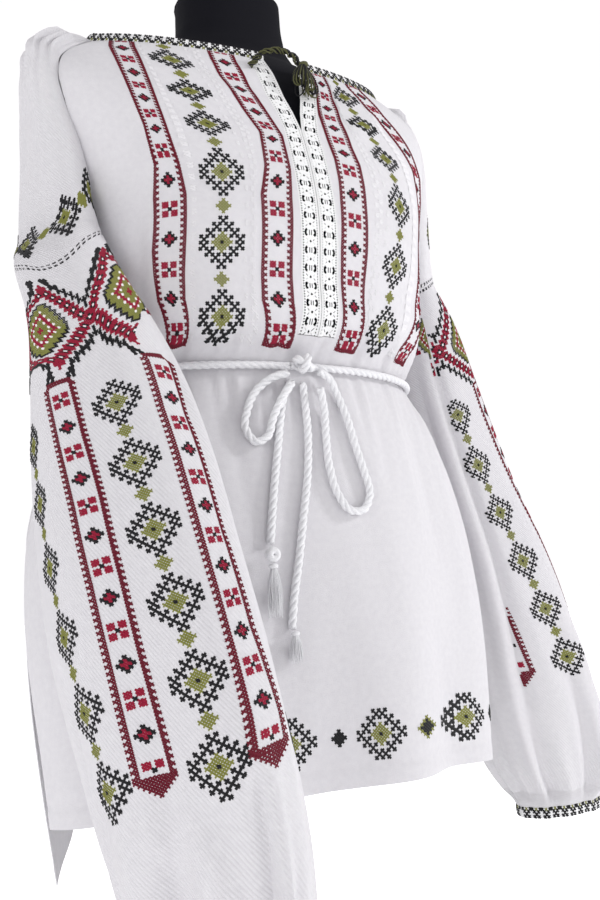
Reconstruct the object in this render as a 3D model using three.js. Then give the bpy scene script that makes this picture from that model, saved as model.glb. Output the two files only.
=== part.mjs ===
// Romanian blouse on a limbless dress form. Millimetres, +Z up, the wearer's front faces -Y,
// the wearer's right is -X. The origin is on the floor under the middle of the round base.
import * as THREE from 'three';

// ---- cloth and seams ----
const CLOTH = 1.6;
const LACE_CLOTH = 1.4;
const BAND_CLOTH = 2.2;
const SEAM_ALLOWANCE = 0.45;
const NECK_BAND_WIDTH = 9;
const BAND_SLOPE_FRONT = 55;
const BAND_SLOPE_SIDE = 20;
const CUFF_WIDTH = 11;

// ---- front width: columns across, and the lace let into its upper centre ----
const FRONT_SIDE_COLUMNS = 13;
const LACE_WIDTH = 17;
const LACE_SEAM = 0.4;
const SLIT_TOP_WIDTH = 38;
const WHOLE_CENTRE_COLUMN = 9;
const ROW_STEPS = 200;

// One row per level of the front, hem first. zc and ze are the heights at the centre and at the side,
// half the half width, deep the depth forward, edge the angle of the side edge from the centre, lead how far
// the right-hand seam lies forward of that, square the fullness of the section, fold how much of the skirt
// folds shows.
const FRONT_LEVELS = [
  { zc: 396, ze: 380, half: 206, deep: 158, edge: 74, lead: 0, square: 2.2, fold: 1.0 },
  { zc: 442, ze: 430, half: 209, deep: 156, edge: 76, lead: 0, square: 2.2, fold: 0.92 },
  { zc: 492, ze: 486, half: 211, deep: 152, edge: 80, lead: 0, square: 2.2, fold: 0.82 },
  { zc: 546, ze: 544, half: 208, deep: 147, edge: 86, lead: 0, square: 2.2, fold: 0.7 },
  { zc: 600, ze: 600, half: 201, deep: 140, edge: 90, lead: 0, square: 2.2, fold: 0.55 },
  { zc: 650, ze: 650, half: 188, deep: 131, edge: 90, lead: 0, square: 2.2, fold: 0.38 },
  { zc: 690, ze: 690, half: 172, deep: 121, edge: 90, lead: 0, square: 2.2, fold: 0.2 },
  { zc: 712, ze: 712, half: 158, deep: 115, edge: 90, lead: 0, square: 2.2, fold: 0.05 },
  { zc: 724, ze: 724, half: 151, deep: 112, edge: 90, lead: 0, square: 2.2, fold: 0 },
  { zc: 735, ze: 735, half: 153, deep: 119, edge: 90, lead: 0, square: 2.25, fold: 0 },
  { zc: 746, ze: 752, half: 157, deep: 132, edge: 90, lead: 1, square: 2.3, fold: 0 },
  { zc: 796, ze: 798, half: 159, deep: 143, edge: 90, lead: 4, square: 2.4, fold: 0 },
  { zc: 846, ze: 842, half: 162, deep: 146, edge: 90, lead: 7, square: 2.45, fold: 0 },
  { zc: 878, ze: 874, half: 171, deep: 141, edge: 75, lead: 5, square: 2.4, fold: 0 },
  { zc: 908, ze: 912, half: 182, deep: 132, edge: 69, lead: 2, square: 2.35, fold: 0 },
  { zc: 936, ze: 950, half: 192, deep: 122, edge: 68, lead: 0, square: 2.3, fold: 0 },
  { zc: 960, ze: 983, half: 193, deep: 113, edge: 70, lead: 0, square: 2.25, fold: 0 },
  { zc: 980, ze: 1006, half: 180, deep: 106, edge: 73, lead: 0, square: 2.2, fold: 0 },
  { zc: 992, ze: 1019, half: 163, deep: 101, edge: 75, lead: 0, square: 2.15, fold: 0 },
  { zc: 1000, ze: 1027, half: 151, deep: 97, edge: 77, lead: 0, square: 2.1, fold: 0 },
];
const LACE_FOOT_LEVEL = 10;
const UNDERARM_LEVEL = 12;
const SLIT_FOOT_LEVEL = 15;

// The back has the same levels from the waist up and a longer skirt. sag is how far its right-hand corner
// hangs below the left-hand one.
const BACK_COLUMNS = 24;
const BACK_LEVELS = [
  { zc: 372, ze: 352, half: 182, deep: 146, edge: 74, lead: 0, sag: 40, square: 2.2, fold: 1.0 },
  { zc: 424, ze: 410, half: 192, deep: 144, edge: 77, lead: 0, sag: 28, square: 2.2, fold: 0.9 },
  { zc: 480, ze: 472, half: 201, deep: 141, edge: 81, lead: 0, sag: 12, square: 2.2, fold: 0.8 },
  { zc: 540, ze: 532, half: 205, deep: 135, edge: 86, lead: 0, sag: 0, square: 2.2, fold: 0.68 },
  { zc: 600, ze: 600, half: 201, deep: 128, edge: 90, lead: 0, sag: 0, square: 2.2, fold: 0.55 },
  { zc: 650, ze: 650, half: 188, deep: 118, edge: 90, lead: 0, sag: 0, square: 2.2, fold: 0.38 },
  { zc: 690, ze: 690, half: 172, deep: 106, edge: 90, lead: 0, sag: 0, square: 2.2, fold: 0.2 },
  { zc: 712, ze: 712, half: 158, deep: 97, edge: 90, lead: 0, sag: 0, square: 2.2, fold: 0.05 },
  { zc: 724, ze: 724, half: 151, deep: 93, edge: 90, lead: 0, sag: 0, square: 2.2, fold: 0 },
  { zc: 735, ze: 735, half: 154, deep: 96, edge: 90, lead: 0, sag: 0, square: 2.25, fold: 0 },
  { zc: 752, ze: 752, half: 157, deep: 104, edge: 90, lead: 1, sag: 0, square: 2.3, fold: 0 },
  { zc: 800, ze: 798, half: 159, deep: 113, edge: 90, lead: 4, sag: 0, square: 2.4, fold: 0 },
  { zc: 846, ze: 842, half: 162, deep: 117, edge: 90, lead: 7, sag: 0, square: 2.45, fold: 0 },
  { zc: 884, ze: 874, half: 171, deep: 118, edge: 75, lead: 5, sag: 0, square: 2.4, fold: 0 },
  { zc: 922, ze: 912, half: 182, deep: 115, edge: 69, lead: 2, sag: 0, square: 2.35, fold: 0 },
  { zc: 956, ze: 950, half: 192, deep: 108, edge: 68, lead: 0, sag: 0, square: 2.3, fold: 0 },
  { zc: 986, ze: 983, half: 193, deep: 98, edge: 70, lead: 0, sag: 0, square: 2.25, fold: 0 },
  { zc: 1008, ze: 1007, half: 180, deep: 88, edge: 73, lead: 0, sag: 0, square: 2.2, fold: 0 },
  { zc: 1022, ze: 1021, half: 163, deep: 80, edge: 75, lead: 0, sag: 0, square: 2.15, fold: 0 },
  { zc: 1030, ze: 1029, half: 151, deep: 75, edge: 77, lead: 0, sag: 0, square: 2.1, fold: 0 },
];

// Skirt folds: at is the place between the side edges (-1 to 1), wide the half width in the same measure,
// out the height at the hem (negative is a trough).
const FRONT_FOLDS = [
  { at: -0.86, wide: 0.16, out: 8 },
  { at: -0.6, wide: 0.13, out: -9 },
  { at: -0.36, wide: 0.14, out: 8 },
  { at: -0.08, wide: 0.15, out: -8 },
  { at: 0.16, wide: 0.14, out: 7 },
  { at: 0.42, wide: 0.15, out: -10 },
  { at: 0.66, wide: 0.15, out: 7 },
  { at: 0.88, wide: 0.12, out: -6 },
];
const BACK_FOLDS = [
  { at: -0.82, wide: 0.16, out: -9 },
  { at: -0.54, wide: 0.15, out: 9 },
  { at: -0.26, wide: 0.14, out: -8 },
  { at: 0.02, wide: 0.16, out: 9 },
  { at: 0.3, wide: 0.15, out: -8 },
  { at: 0.58, wide: 0.14, out: 8 },
  { at: 0.84, wide: 0.15, out: -7 },
];

// ---- sleeves: one row per ring, neck end first. x outward and y are the middle of the ring, z its height,
// across and along are the half sizes, turn swings the long side towards the front, open is the half angle
// of the side that is open to the body, ruffle the depth of the gathers.
const SLEEVE_COLUMNS = 22;
const SLEEVE_SEAM = 0.8;
const RIGHT_CAP = [
  { x: 145, y: 1, z: 1031, across: 6, along: 24, turn: 0, open: 90, ruffle: 0 },
  { x: 150, y: 1, z: 1035, across: 22, along: 31, turn: 0, open: 90, ruffle: 1.2 },
  { x: 159, y: 1, z: 1029, across: 32, along: 39, turn: 0, open: 90, ruffle: 1.4 },
  { x: 165, y: 0, z: 1004, across: 34, along: 46, turn: 0, open: 90, ruffle: 1.2 },
  { x: 171, y: -2, z: 966, across: 30, along: 52, turn: 2, open: 88, ruffle: 0.8 },
  { x: 177, y: -8, z: 925, across: 25, along: 56, turn: 4, open: 74, ruffle: 0.4 },
  { x: 182, y: -17, z: 883, across: 22, along: 56, turn: 8, open: 50, ruffle: 0.2 },
  { x: 185, y: -35, z: 842, across: 21, along: 50, turn: 16, open: 0, ruffle: 0 },
];
const RIGHT_SLEEVE = [
  { x: 188, y: -68, z: 804, across: 31, along: 46, turn: 26, open: 0, ruffle: 0.8 },
  { x: 181, y: -100, z: 756, across: 36, along: 51, turn: 30, open: 0, ruffle: 1.4 },
  { x: 177, y: -126, z: 700, across: 40, along: 62, turn: 32, open: 0, ruffle: 2.0 },
  { x: 174, y: -150, z: 640, across: 43, along: 71, turn: 32, open: 0, ruffle: 2.6 },
  { x: 171, y: -172, z: 576, across: 46, along: 78, turn: 30, open: 0, ruffle: 3.2 },
  { x: 165, y: -192, z: 508, across: 48, along: 83, turn: 28, open: 0, ruffle: 3.8 },
  { x: 156, y: -209, z: 440, across: 49, along: 80, turn: 26, open: 0, ruffle: 4.2 },
  { x: 148, y: -220, z: 380, across: 46, along: 71, turn: 26, open: 0, ruffle: 4.4 },
  { x: 142, y: -226, z: 336, across: 39, along: 57, turn: 26, open: 0, ruffle: 3.6 },
  { x: 140, y: -228, z: 312, across: 31, along: 45, turn: 26, open: 0, ruffle: 1.6 },
  { x: 140, y: -229, z: 301, across: 27, along: 40, turn: 26, open: 0, ruffle: 0 },
];
const LEFT_CAP = [
  { x: 145, y: 1, z: 1031, across: 6, along: 24, turn: 0, open: 90, ruffle: 0 },
  { x: 149, y: 1, z: 1032, across: 20, along: 31, turn: 0, open: 90, ruffle: 1.2 },
  { x: 158, y: 1, z: 1018, across: 30, along: 38, turn: 0, open: 90, ruffle: 1.4 },
  { x: 166, y: 1, z: 990, across: 33, along: 45, turn: 0, open: 90, ruffle: 1.2 },
  { x: 172, y: 2, z: 956, across: 31, along: 49, turn: 0, open: 88, ruffle: 0.8 },
  { x: 175, y: 3, z: 920, across: 28, along: 48, turn: 0, open: 70, ruffle: 0.6 },
  { x: 179, y: 5, z: 881, across: 26, along: 45, turn: 0, open: 46, ruffle: 0.6 },
  { x: 188, y: 6, z: 842, across: 25, along: 43, turn: 0, open: 0, ruffle: 0.8 },
];
const LEFT_SLEEVE = [
  { x: 205, y: 8, z: 800, across: 36, along: 45, turn: 0, open: 0, ruffle: 1.0 },
  { x: 219, y: 10, z: 748, across: 43, along: 48, turn: 0, open: 0, ruffle: 1.4 },
  { x: 236, y: 12, z: 694, across: 47, along: 50, turn: 0, open: 0, ruffle: 2.0 },
  { x: 257, y: 14, z: 634, across: 51, along: 52, turn: 0, open: 0, ruffle: 2.6 },
  { x: 282, y: 14, z: 572, across: 60, along: 52, turn: 0, open: 0, ruffle: 3.2 },
  { x: 302, y: 14, z: 506, across: 70, along: 52, turn: 0, open: 0, ruffle: 3.8 },
  { x: 318, y: 12, z: 440, across: 79, along: 50, turn: 0, open: 0, ruffle: 4.2 },
  { x: 333, y: 10, z: 384, across: 80, along: 46, turn: 0, open: 0, ruffle: 4.2 },
  { x: 342, y: 8, z: 344, across: 72, along: 40, turn: 0, open: 0, ruffle: 3.4 },
  { x: 346, y: 6, z: 320, across: 60, along: 33, turn: 0, open: 0, ruffle: 1.6 },
  { x: 347, y: 6, z: 309, across: 54, along: 29, turn: 0, open: 0, ruffle: 0 },
];
// Gathers run as one wave round the ring and a weaker one with fewer crests. They fade out at the seam.
const RUFFLE_WAVES = 5;
const FEWER_WAVES = 3;
const FEWER_SHARE = 0.5;
const RUFFLE_DRIFT = 0.3;
const RUFFLE_FADE = 0.5;
// How quickly the pull of the armhole edge fades round a ring.
const ARMHOLE_PULL = 4;

// ---- dress form ----
const FORM_SEGMENTS = 36;
// A row per ring: z, half width, depth forward, depth back.
const FORM_LEVELS = [
  { z: 476, half: 160, front: 104, back: 104 },
  { z: 492, half: 168, front: 111, back: 112 },
  { z: 560, half: 171, front: 113, back: 117 },
  { z: 630, half: 152, front: 102, back: 99 },
  { z: 700, half: 124, front: 89, back: 78 },
  { z: 730, half: 120, front: 88, back: 75 },
  { z: 770, half: 126, front: 100, back: 82 },
  { z: 820, half: 139, front: 124, back: 96 },
  { z: 856, half: 147, front: 131, back: 101 },
  { z: 896, half: 156, front: 124, back: 103 },
  { z: 936, half: 163, front: 109, back: 98 },
  { z: 970, half: 166, front: 98, back: 89 },
  { z: 993, half: 162, front: 89, back: 79 },
  { z: 1008, half: 150, front: 80, back: 73 },
  { z: 1018, half: 132, front: 71, back: 70 },
  { z: 1027, half: 106, front: 62, back: 66 },
  { z: 1038, half: 76, front: 50, back: 68 },
  { z: 1054, half: 58, front: 43, back: 68 },
  { z: 1076, half: 52, front: 38, back: 67 },
  { z: 1112, half: 50, front: 36, back: 66 },
];
const FORM_SQUARE = 2.15;
const NECK_CAP = { y: 15, profile: [[0, 1112.4], [48, 1112.4], [49, 1114], [46, 1117], [30, 1120], [0, 1121]] };
const UNDER_PLATE = { radius: 46, bottom: 469.6, top: 475.6 };
const POLE = { radius: 13, bottom: 16.3, top: 469.2 };
const BASE_PROFILE = [[0, 0], [158, 0], [160, 3], [158, 8], [40, 13], [26, 16], [0, 16]];
const ROUND_SIDES = 32;

// ---- waist cord with its bow ----
const CORD_RADIUS = 3.3;
const CORD_SIDES = 8;
const CORD_CLEAR = 0.4;
const WAIST_CORD_CLEAR = 1.1;
const WAIST_LEVEL = 8;
const WAIST_CORD_STEPS = 46;
const WAIST_CORD_START = -5;
const WAIST_CORD_END = 354.7;
const KNOT = { x: -10, z: 724, wide: 11, deep: 8, high: 9, sides: 14 };
// Rows along a cord: x, z and lift, the distance it stands off the front besides its own radius.
const LOOP_RIGHT = [
  { x: -24, z: 716, lift: 6 },
  { x: -35, z: 713, lift: 5 },
  { x: -49, z: 703, lift: 1 },
  { x: -60, z: 686, lift: 0 },
  { x: -64, z: 670, lift: 0 },
  { x: -57, z: 659, lift: 0 },
  { x: -48, z: 663, lift: 1 },
  { x: -42, z: 678, lift: 5 },
  { x: -34, z: 694, lift: 9 },
  { x: -25, z: 706, lift: 11 },
];
const LOOP_LEFT = [
  { x: 4, z: 719, lift: 7 },
  { x: 14, z: 714, lift: 5 },
  { x: 22, z: 702, lift: 1 },
  { x: 27, z: 680, lift: 0 },
  { x: 30, z: 656, lift: 0 },
  { x: 34, z: 636, lift: 0 },
  { x: 36, z: 616, lift: 0 },
  { x: 28, z: 604, lift: 0 },
  { x: 16, z: 604, lift: 0 },
  { x: 7, z: 617, lift: 0 },
  { x: 3, z: 638, lift: 0 },
  { x: 4, z: 664, lift: 0 },
  { x: 6, z: 686, lift: 2 },
  { x: 2, z: 704, lift: 7 },
];
const TAIL_RIGHT = [
  { x: -18, z: 711, lift: 0 },
  { x: -27, z: 698, lift: 0 },
  { x: -34, z: 676, lift: 0 },
  { x: -40, z: 652, lift: 0 },
  { x: -46, z: 628, lift: 0 },
  { x: -51, z: 604, lift: 0 },
  { x: -55, z: 580, lift: 0 },
];
const TAIL_LEFT = [
  { x: -8, z: 709, lift: 0 },
  { x: -9, z: 694, lift: 0 },
  { x: -12, z: 662, lift: 0 },
  { x: -18, z: 629, lift: 0 },
  { x: -26, z: 596, lift: 0 },
  { x: -33, z: 566, lift: 0 },
  { x: -40, z: 538, lift: 0 },
  { x: -44, z: 516, lift: 0 },
];
const LOOP_STEPS = 22;
const TAIL_STEPS = 20;
// Tassel half profile from its lower end up: distance up, radius.
const TASSEL_SIDES = 10;
const TASSEL_PROFILE = [[0, 0], [0, 6.2], [22, 5.4], [36, 3.2], [40, 5.6], [46, 6.4], [51, 4.4], [52, 0]];
const TASSEL_RIGHT = { x: -58, top: 576.6, lift: 0.6 };
const FRINGE_PROFILE = [[0, 0], [0, 5.4], [12, 4.8], [24, 3.6], [25, 0]];
const FRINGE_LEFT = { x: -43.5, top: 514.8, lift: 0.6 };

// ---- neck tie ----
const TIE_RADIUS = 1.6;
const TIE_SIDES = 6;
const TIE_STEPS = 16;
const TIE_BRIDGE = [
  { x: -34, y: -103.2, z: 988 },
  { x: -25, y: -110, z: 998 },
  { x: -10, y: -112, z: 1003 },
  { x: 5, y: -110, z: 1002 },
  { x: 15, y: -106.8, z: 994 },
];
const TIE_TASSEL_PROFILE = [[0, 0], [0, 6], [14, 7.5], [24, 4], [26, 0]];
const TIE_TASSEL = { x: 10, y: -118, top: 991, sides: 10 };

const white = (roughness) => new THREE.MeshStandardMaterial({ color: 0xf1f0f2, roughness });

// ======== helpers ========
const radians = THREE.MathUtils.degToRad;
const vec = (x, y, z) => new THREE.Vector3(x, y, z);
const positionKey = (p) => `${p.x.toFixed(3)},${p.y.toFixed(3)},${p.z.toFixed(3)}`;

// A point of a full-sided oval: angle 0 points along the depth, 90 degrees along the half width.
function ovalPoint(half, deep, square, angle) {
  const power = 2 / square;
  const s = Math.sin(angle);
  const c = Math.cos(angle);
  return [Math.sign(s) * half * Math.abs(s) ** power, Math.sign(c) * deep * Math.abs(c) ** power];
}

// Height of the folds at a place across a panel.
function foldHeight(folds, place) {
  let height = 0;
  for (const fold of folds) {
    const away = (place - fold.at) / fold.wide;
    height += fold.out * Math.exp(-away * away);
  }
  return height;
}

// ======== skins: rows of points, later thickened to walls ========
const skins = [];
const addSkin = (name, rows, thickness, has = () => true) => skins.push({ name, rows, thickness, has });

// One row of a body panel. facing is -1 for the front, 1 for the back. places run from -1 to 1.
function panelRow(level, facing, folds, places) {
  return places.map((place) => {
    const toRight = place < 0;
    const angle = radians(level.edge + (toRight ? facing * level.lead : 0)) * place;
    const [x, y] = ovalPoint(level.half, level.deep, level.square, angle);
    const rise = place * place;
    const sag = toRight ? (level.sag ?? 0) * rise * rise : 0;
    const z = level.zc + (level.ze - level.zc) * rise - sag;
    const out = level.fold * foldHeight(folds, place);
    const flat = vec(x / level.half ** 2, y / level.deep ** 2, 0).normalize().multiplyScalar(out);
    return vec(x + flat.x, facing * (y + flat.y), z);
  });
}

// Place (0 to 1) on the front half row at a distance from the centre line.
function placeAtDistance(level, distance) {
  let walked = 0;
  let before = vec(0, level.deep, 0);
  for (let i = 1; i <= ROW_STEPS; i += 1) {
    const angle = radians(level.edge) * (i / ROW_STEPS);
    const [x, y] = ovalPoint(level.half, level.deep, level.square, angle);
    const here = vec(x, y, 0);
    walked += here.distanceTo(before);
    if (walked >= distance) return i / ROW_STEPS;
    before = here;
  }
  return 1;
}

// Columns of the front: the seam or slit at the centre, the lace, then even columns to the side.
function frontPlaces(level, index) {
  const slitRise = (index - SLIT_FOOT_LEVEL) / (FRONT_LEVELS.length - 1 - SLIT_FOOT_LEVEL);
  let centre = LACE_SEAM / 2;
  if (index < LACE_FOOT_LEVEL) centre = WHOLE_CENTRE_COLUMN;
  if (index > SLIT_FOOT_LEVEL) centre = (SLIT_TOP_WIDTH * slitRise) / 2;
  const inner = centre < 1 ? centre / level.half : placeAtDistance(level, centre);
  const laceEdge = placeAtDistance(level, Math.max(centre, 1) + LACE_WIDTH);
  const half = [inner, laceEdge];
  for (let i = 1; i <= FRONT_SIDE_COLUMNS; i += 1) {
    half.push(laceEdge + ((1 - laceEdge) * i) / FRONT_SIDE_COLUMNS);
  }
  return [...half.map((p) => -p).reverse(), ...half];
}

const frontRows = FRONT_LEVELS.map((level, i) => panelRow(level, -1, FRONT_FOLDS, frontPlaces(level, i)));
const frontColumns = frontRows[0].length - 1;
const centreColumn = FRONT_SIDE_COLUMNS + 1;
const isLaceRow = (row) => row >= LACE_FOOT_LEVEL;
const isCentre = (column) => Math.abs(column - centreColumn) <= 1;

addSkin('blouse_front', frontRows, CLOTH, (row, column) => !(isLaceRow(row) && isCentre(column)));
addSkin('lace_right', frontRows, LACE_CLOTH, (row, column) => isLaceRow(row) && column === centreColumn - 1);
addSkin('lace_left', frontRows, LACE_CLOTH, (row, column) => isLaceRow(row) && column === centreColumn + 1);

// The back rows run the other way round, so that the outside stays outside.
const backPlaces = Array.from({ length: BACK_COLUMNS + 1 }, (_, i) => 1 - (2 * i) / BACK_COLUMNS);
const backRows = BACK_LEVELS.map((level) => panelRow(level, 1, BACK_FOLDS, backPlaces));

// The back takes the front's side edge wherever the two are sewn together, and the same armhole heights.
const SIDE_SEAM_FOOT = 4;
for (let i = SIDE_SEAM_FOOT; i <= UNDERARM_LEVEL; i += 1) {
  backRows[i][0].copy(frontRows[i][frontColumns]);
  backRows[i][BACK_COLUMNS].copy(frontRows[i][0]);
}
addSkin('blouse_back', backRows, CLOTH);

// ---- sleeves ----
function sleeveRing(ring, side, phase) {
  const row = [];
  for (let i = 0; i <= SLEEVE_COLUMNS; i += 1) {
    const part = i / SLEEVE_COLUMNS;
    const seamTurn = ring.open === 0 ? SLEEVE_SEAM / ring.along / 2 : radians(ring.open);
    const turnRound = seamTurn + (2 * Math.PI - 2 * seamTurn) * part;
    const fewer = FEWER_SHARE * Math.sin(FEWER_WAVES * turnRound + 2 * phase);
    const wave = Math.sin(RUFFLE_WAVES * turnRound + phase) + fewer;
    const gather = ring.ruffle * wave * Math.sin(Math.PI * part) ** RUFFLE_FADE;
    const inward = -(ring.across + gather) * Math.cos(turnRound);
    const forward = -(ring.along + gather) * Math.sin(turnRound);
    const swing = radians(ring.turn);
    const x = ring.x + inward * Math.cos(swing) + forward * Math.sin(swing);
    const y = ring.y + forward * Math.cos(swing) - inward * Math.sin(swing);
    row.push(vec(side * x, y, ring.z));
  }
  return row;
}

// Draws the two ends of an open ring onto the armhole edges of the front and the back.
function pinToArmhole(row, frontEdge, backEdge) {
  const toFront = frontEdge.clone().sub(row[0]);
  const toBack = backEdge.clone().sub(row[SLEEVE_COLUMNS]);
  row.forEach((point, i) => {
    const part = i / SLEEVE_COLUMNS;
    const nearFront = (1 - part) ** ARMHOLE_PULL;
    const nearBack = part ** ARMHOLE_PULL;
    point.addScaledVector(toFront, nearFront).addScaledVector(toBack, nearBack);
  });
}

function sleeveRows(cap, tube, side) {
  const rows = [...cap, ...tube].map((ring, i) => sleeveRing(ring, side, RUFFLE_DRIFT * i));
  const frontEdgeColumn = side < 0 ? 0 : frontColumns;
  const backEdgeColumn = side < 0 ? BACK_COLUMNS : 0;
  cap.forEach((ring, i) => {
    const level = FRONT_LEVELS.length - 1 - i;
    pinToArmhole(rows[i], frontRows[level][frontEdgeColumn], backRows[level][backEdgeColumn]);
  });
  if (side > 0) rows.forEach((row) => row.reverse());
  return rows;
}

const rightRows = sleeveRows(RIGHT_CAP, RIGHT_SLEEVE, -1);
const leftRows = sleeveRows(LEFT_CAP, LEFT_SLEEVE, 1);
addSkin('sleeve_right', rightRows, CLOTH);
addSkin('sleeve_left', leftRows, CLOTH);

// ======== thickening ========
function cellNormals(skin, add) {
  const { rows, has } = skin;
  for (let r = 0; r < rows.length - 1; r += 1) {
    for (let c = 0; c < rows[r].length - 1; c += 1) {
      if (!has(r, c)) continue;
      const corners = [rows[r][c], rows[r][c + 1], rows[r + 1][c + 1], rows[r + 1][c]];
      const across = corners[2].clone().sub(corners[0]);
      const other = corners[3].clone().sub(corners[1]);
      const normal = across.cross(other);
      corners.forEach((corner) => add(corner, normal));
    }
  }
}

function wallGeometry(skin, normals) {
  const { rows, has, thickness } = skin;
  const high = rows.length - 1;
  const wide = rows[0].length - 1;
  const cell = (r, c) => r >= 0 && c >= 0 && r < high && c < wide && has(r, c);
  const vertices = [];
  const index = new Map();
  const outerAndInner = (r, c) => {
    const key = `${r},${c}`;
    if (index.has(key)) return index.get(key);
    const point = rows[r][c].clone();
    const around = [[r - 1, c - 1], [r - 1, c], [r, c - 1], [r, c]];
    const kept = around.filter(([a, b]) => cell(a, b));
    if (kept.length < 4) {
      const inward = vec(0, 0, 0);
      kept.forEach(([a, b]) => {
        const middle = rows[a][b].clone().add(rows[a + 1][b + 1]).add(rows[a + 1][b]).add(rows[a][b + 1]);
        inward.add(middle.divideScalar(4).sub(rows[r][c]));
      });
      point.addScaledVector(inward.normalize(), SEAM_ALLOWANCE);
    }
    const normal = normals.get(positionKey(rows[r][c])).clone().normalize();
    const inside = point.clone().addScaledVector(normal, -thickness);
    const place = vertices.length / 3;
    vertices.push(point.x, point.y, point.z, inside.x, inside.y, inside.z);
    index.set(key, place);
    return place;
  };
  const faces = [];
  const quad = (a, b, c, d) => faces.push(a, b, c, a, c, d);
  for (let r = 0; r < high; r += 1) {
    for (let c = 0; c < wide; c += 1) {
      if (!cell(r, c)) continue;
      const a = outerAndInner(r, c);
      const b = outerAndInner(r, c + 1);
      const d = outerAndInner(r + 1, c + 1);
      const e = outerAndInner(r + 1, c);
      quad(a, b, d, e);
      quad(a + 1, e + 1, d + 1, b + 1);
      if (!cell(r - 1, c)) quad(b, a, a + 1, b + 1);
      if (!cell(r + 1, c)) quad(e, d, d + 1, e + 1);
      if (!cell(r, c - 1)) quad(a, e, e + 1, a + 1);
      if (!cell(r, c + 1)) quad(d, b, b + 1, d + 1);
    }
  }
  const geometry = new THREE.BufferGeometry();
  geometry.setAttribute('position', new THREE.Float32BufferAttribute(vertices, 3));
  geometry.setIndex(faces);
  return geometry;
}

const blouse = new THREE.Group();
const addMesh = (name, geometry, material) => {
  const mesh = new THREE.Mesh(geometry, material);
  mesh.name = name;
  blouse.add(mesh);
  return mesh;
};

// ---- neck band: a strip along the whole neckline, from one side of the slit round the back to the other ----
const last = (row) => row[row.length - 1];
const topOfRight = [...rightRows[0]].reverse();
const topOfLeft = [...leftRows[0]].reverse();
const neckline = [
  ...last(frontRows).slice(centreColumn + 1),
  ...topOfLeft.slice(1),
  ...last(backRows).slice(1),
  ...topOfRight.slice(1),
  ...last(frontRows).slice(1, centreColumn + 1),
];
function bandEdge(point) {
  const sideways = Math.abs(point.x) / (Math.abs(point.x) + Math.abs(point.y));
  const slope = radians(BAND_SLOPE_FRONT + (BAND_SLOPE_SIDE - BAND_SLOPE_FRONT) * sideways);
  const inward = vec(-point.x, -point.y, 0).normalize();
  const step = inward.multiplyScalar(Math.cos(slope)).add(vec(0, 0, Math.sin(slope)));
  return point.clone().addScaledVector(step, NECK_BAND_WIDTH);
}
addSkin('neck_band', [neckline, neckline.map(bandEdge)], BAND_CLOTH);

// ---- cuffs: the sleeve end carried on downwards ----
function cuffRows(rows) {
  const end = last(rows);
  const before = rows[rows.length - 2];
  const middle = (row) => row.reduce((sum, p) => sum.add(p), vec(0, 0, 0)).divideScalar(row.length);
  const down = middle(end).sub(middle(before)).normalize().multiplyScalar(CUFF_WIDTH);
  return [end, end.map((p) => p.clone().add(down))];
}
addSkin('cuff_right', cuffRows(rightRows), BAND_CLOTH);
addSkin('cuff_left', cuffRows(leftRows), BAND_CLOTH);

const normals = new Map();
skins.forEach((skin) => cellNormals(skin, (corner, normal) => {
  const key = positionKey(corner);
  if (!normals.has(key)) normals.set(key, vec(0, 0, 0));
  normals.get(key).add(normal);
}));
const cotton = white(0.9);
skins.forEach((skin) => addMesh(skin.name, wallGeometry(skin, normals), cotton));

// ======== cords ========
// Where the front of the blouse stands at a place: y of its outer face.
function frontFace(x, z) {
  const depthOnRow = (row) => {
    const c = row.findIndex((p) => p.x >= x);
    const [a, b] = [row[c - 1], row[c]];
    const part = (x - a.x) / (b.x - a.x);
    return [a.y + (b.y - a.y) * part, a.z + (b.z - a.z) * part];
  };
  const levels = frontRows.map(depthOnRow);
  const upper = levels.findIndex(([, height]) => height >= z);
  const [low, high] = [levels[upper - 1], levels[upper]];
  return low[0] + ((high[0] - low[0]) * (z - low[1])) / (high[1] - low[1]);
}

function cordGeometry(points, radius, sides, steps) {
  const outline = Array.from({ length: sides }, (_, i) => {
    const angle = (2 * Math.PI * i) / sides;
    return new THREE.Vector2(radius * Math.cos(angle), radius * Math.sin(angle));
  });
  const extrudePath = new THREE.CatmullRomCurve3(points);
  return new THREE.ExtrudeGeometry(new THREE.Shape(outline), { steps, extrudePath, bevelEnabled: false });
}

const onFront = ({ x, z, lift }) => {
  const near = [-CORD_RADIUS, 0, CORD_RADIUS].map((step) => frontFace(x, z + step));
  return vec(x, Math.min(...near) - CORD_CLEAR - CORD_RADIUS - lift, z);
};

const waistFront = FRONT_LEVELS[WAIST_LEVEL];
const waistBack = BACK_LEVELS[WAIST_LEVEL];
const knotY = -waistFront.deep - WAIST_CORD_CLEAR - 2 * CORD_RADIUS - CORD_CLEAR - KNOT.deep;
const waistPoints = [];
for (let i = 0; i <= WAIST_CORD_STEPS; i += 1) {
  const angle = radians(WAIST_CORD_START + (WAIST_CORD_END - WAIST_CORD_START) * (i / WAIST_CORD_STEPS));
  const level = Math.cos(angle) > 0 ? waistFront : waistBack;
  const off = WAIST_CORD_CLEAR + CORD_RADIUS;
  const [x, y] = ovalPoint(level.half + off, level.deep + off, level.square, angle);
  waistPoints.push(vec(x, -y, level.zc));
}
const cord = white(0.75);
const addCord = (name, points, steps) => {
  addMesh(name, cordGeometry(points, CORD_RADIUS, CORD_SIDES, steps), cord);
};
addCord('waist_cord', waistPoints, WAIST_CORD_STEPS);
addCord('bow_loop_right', LOOP_RIGHT.map(onFront), LOOP_STEPS);
addCord('bow_loop_left', LOOP_LEFT.map(onFront), LOOP_STEPS);
addCord('bow_tail_right', TAIL_RIGHT.map(onFront), TAIL_STEPS);
addCord('bow_tail_left', TAIL_LEFT.map(onFront), TAIL_STEPS);

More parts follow.
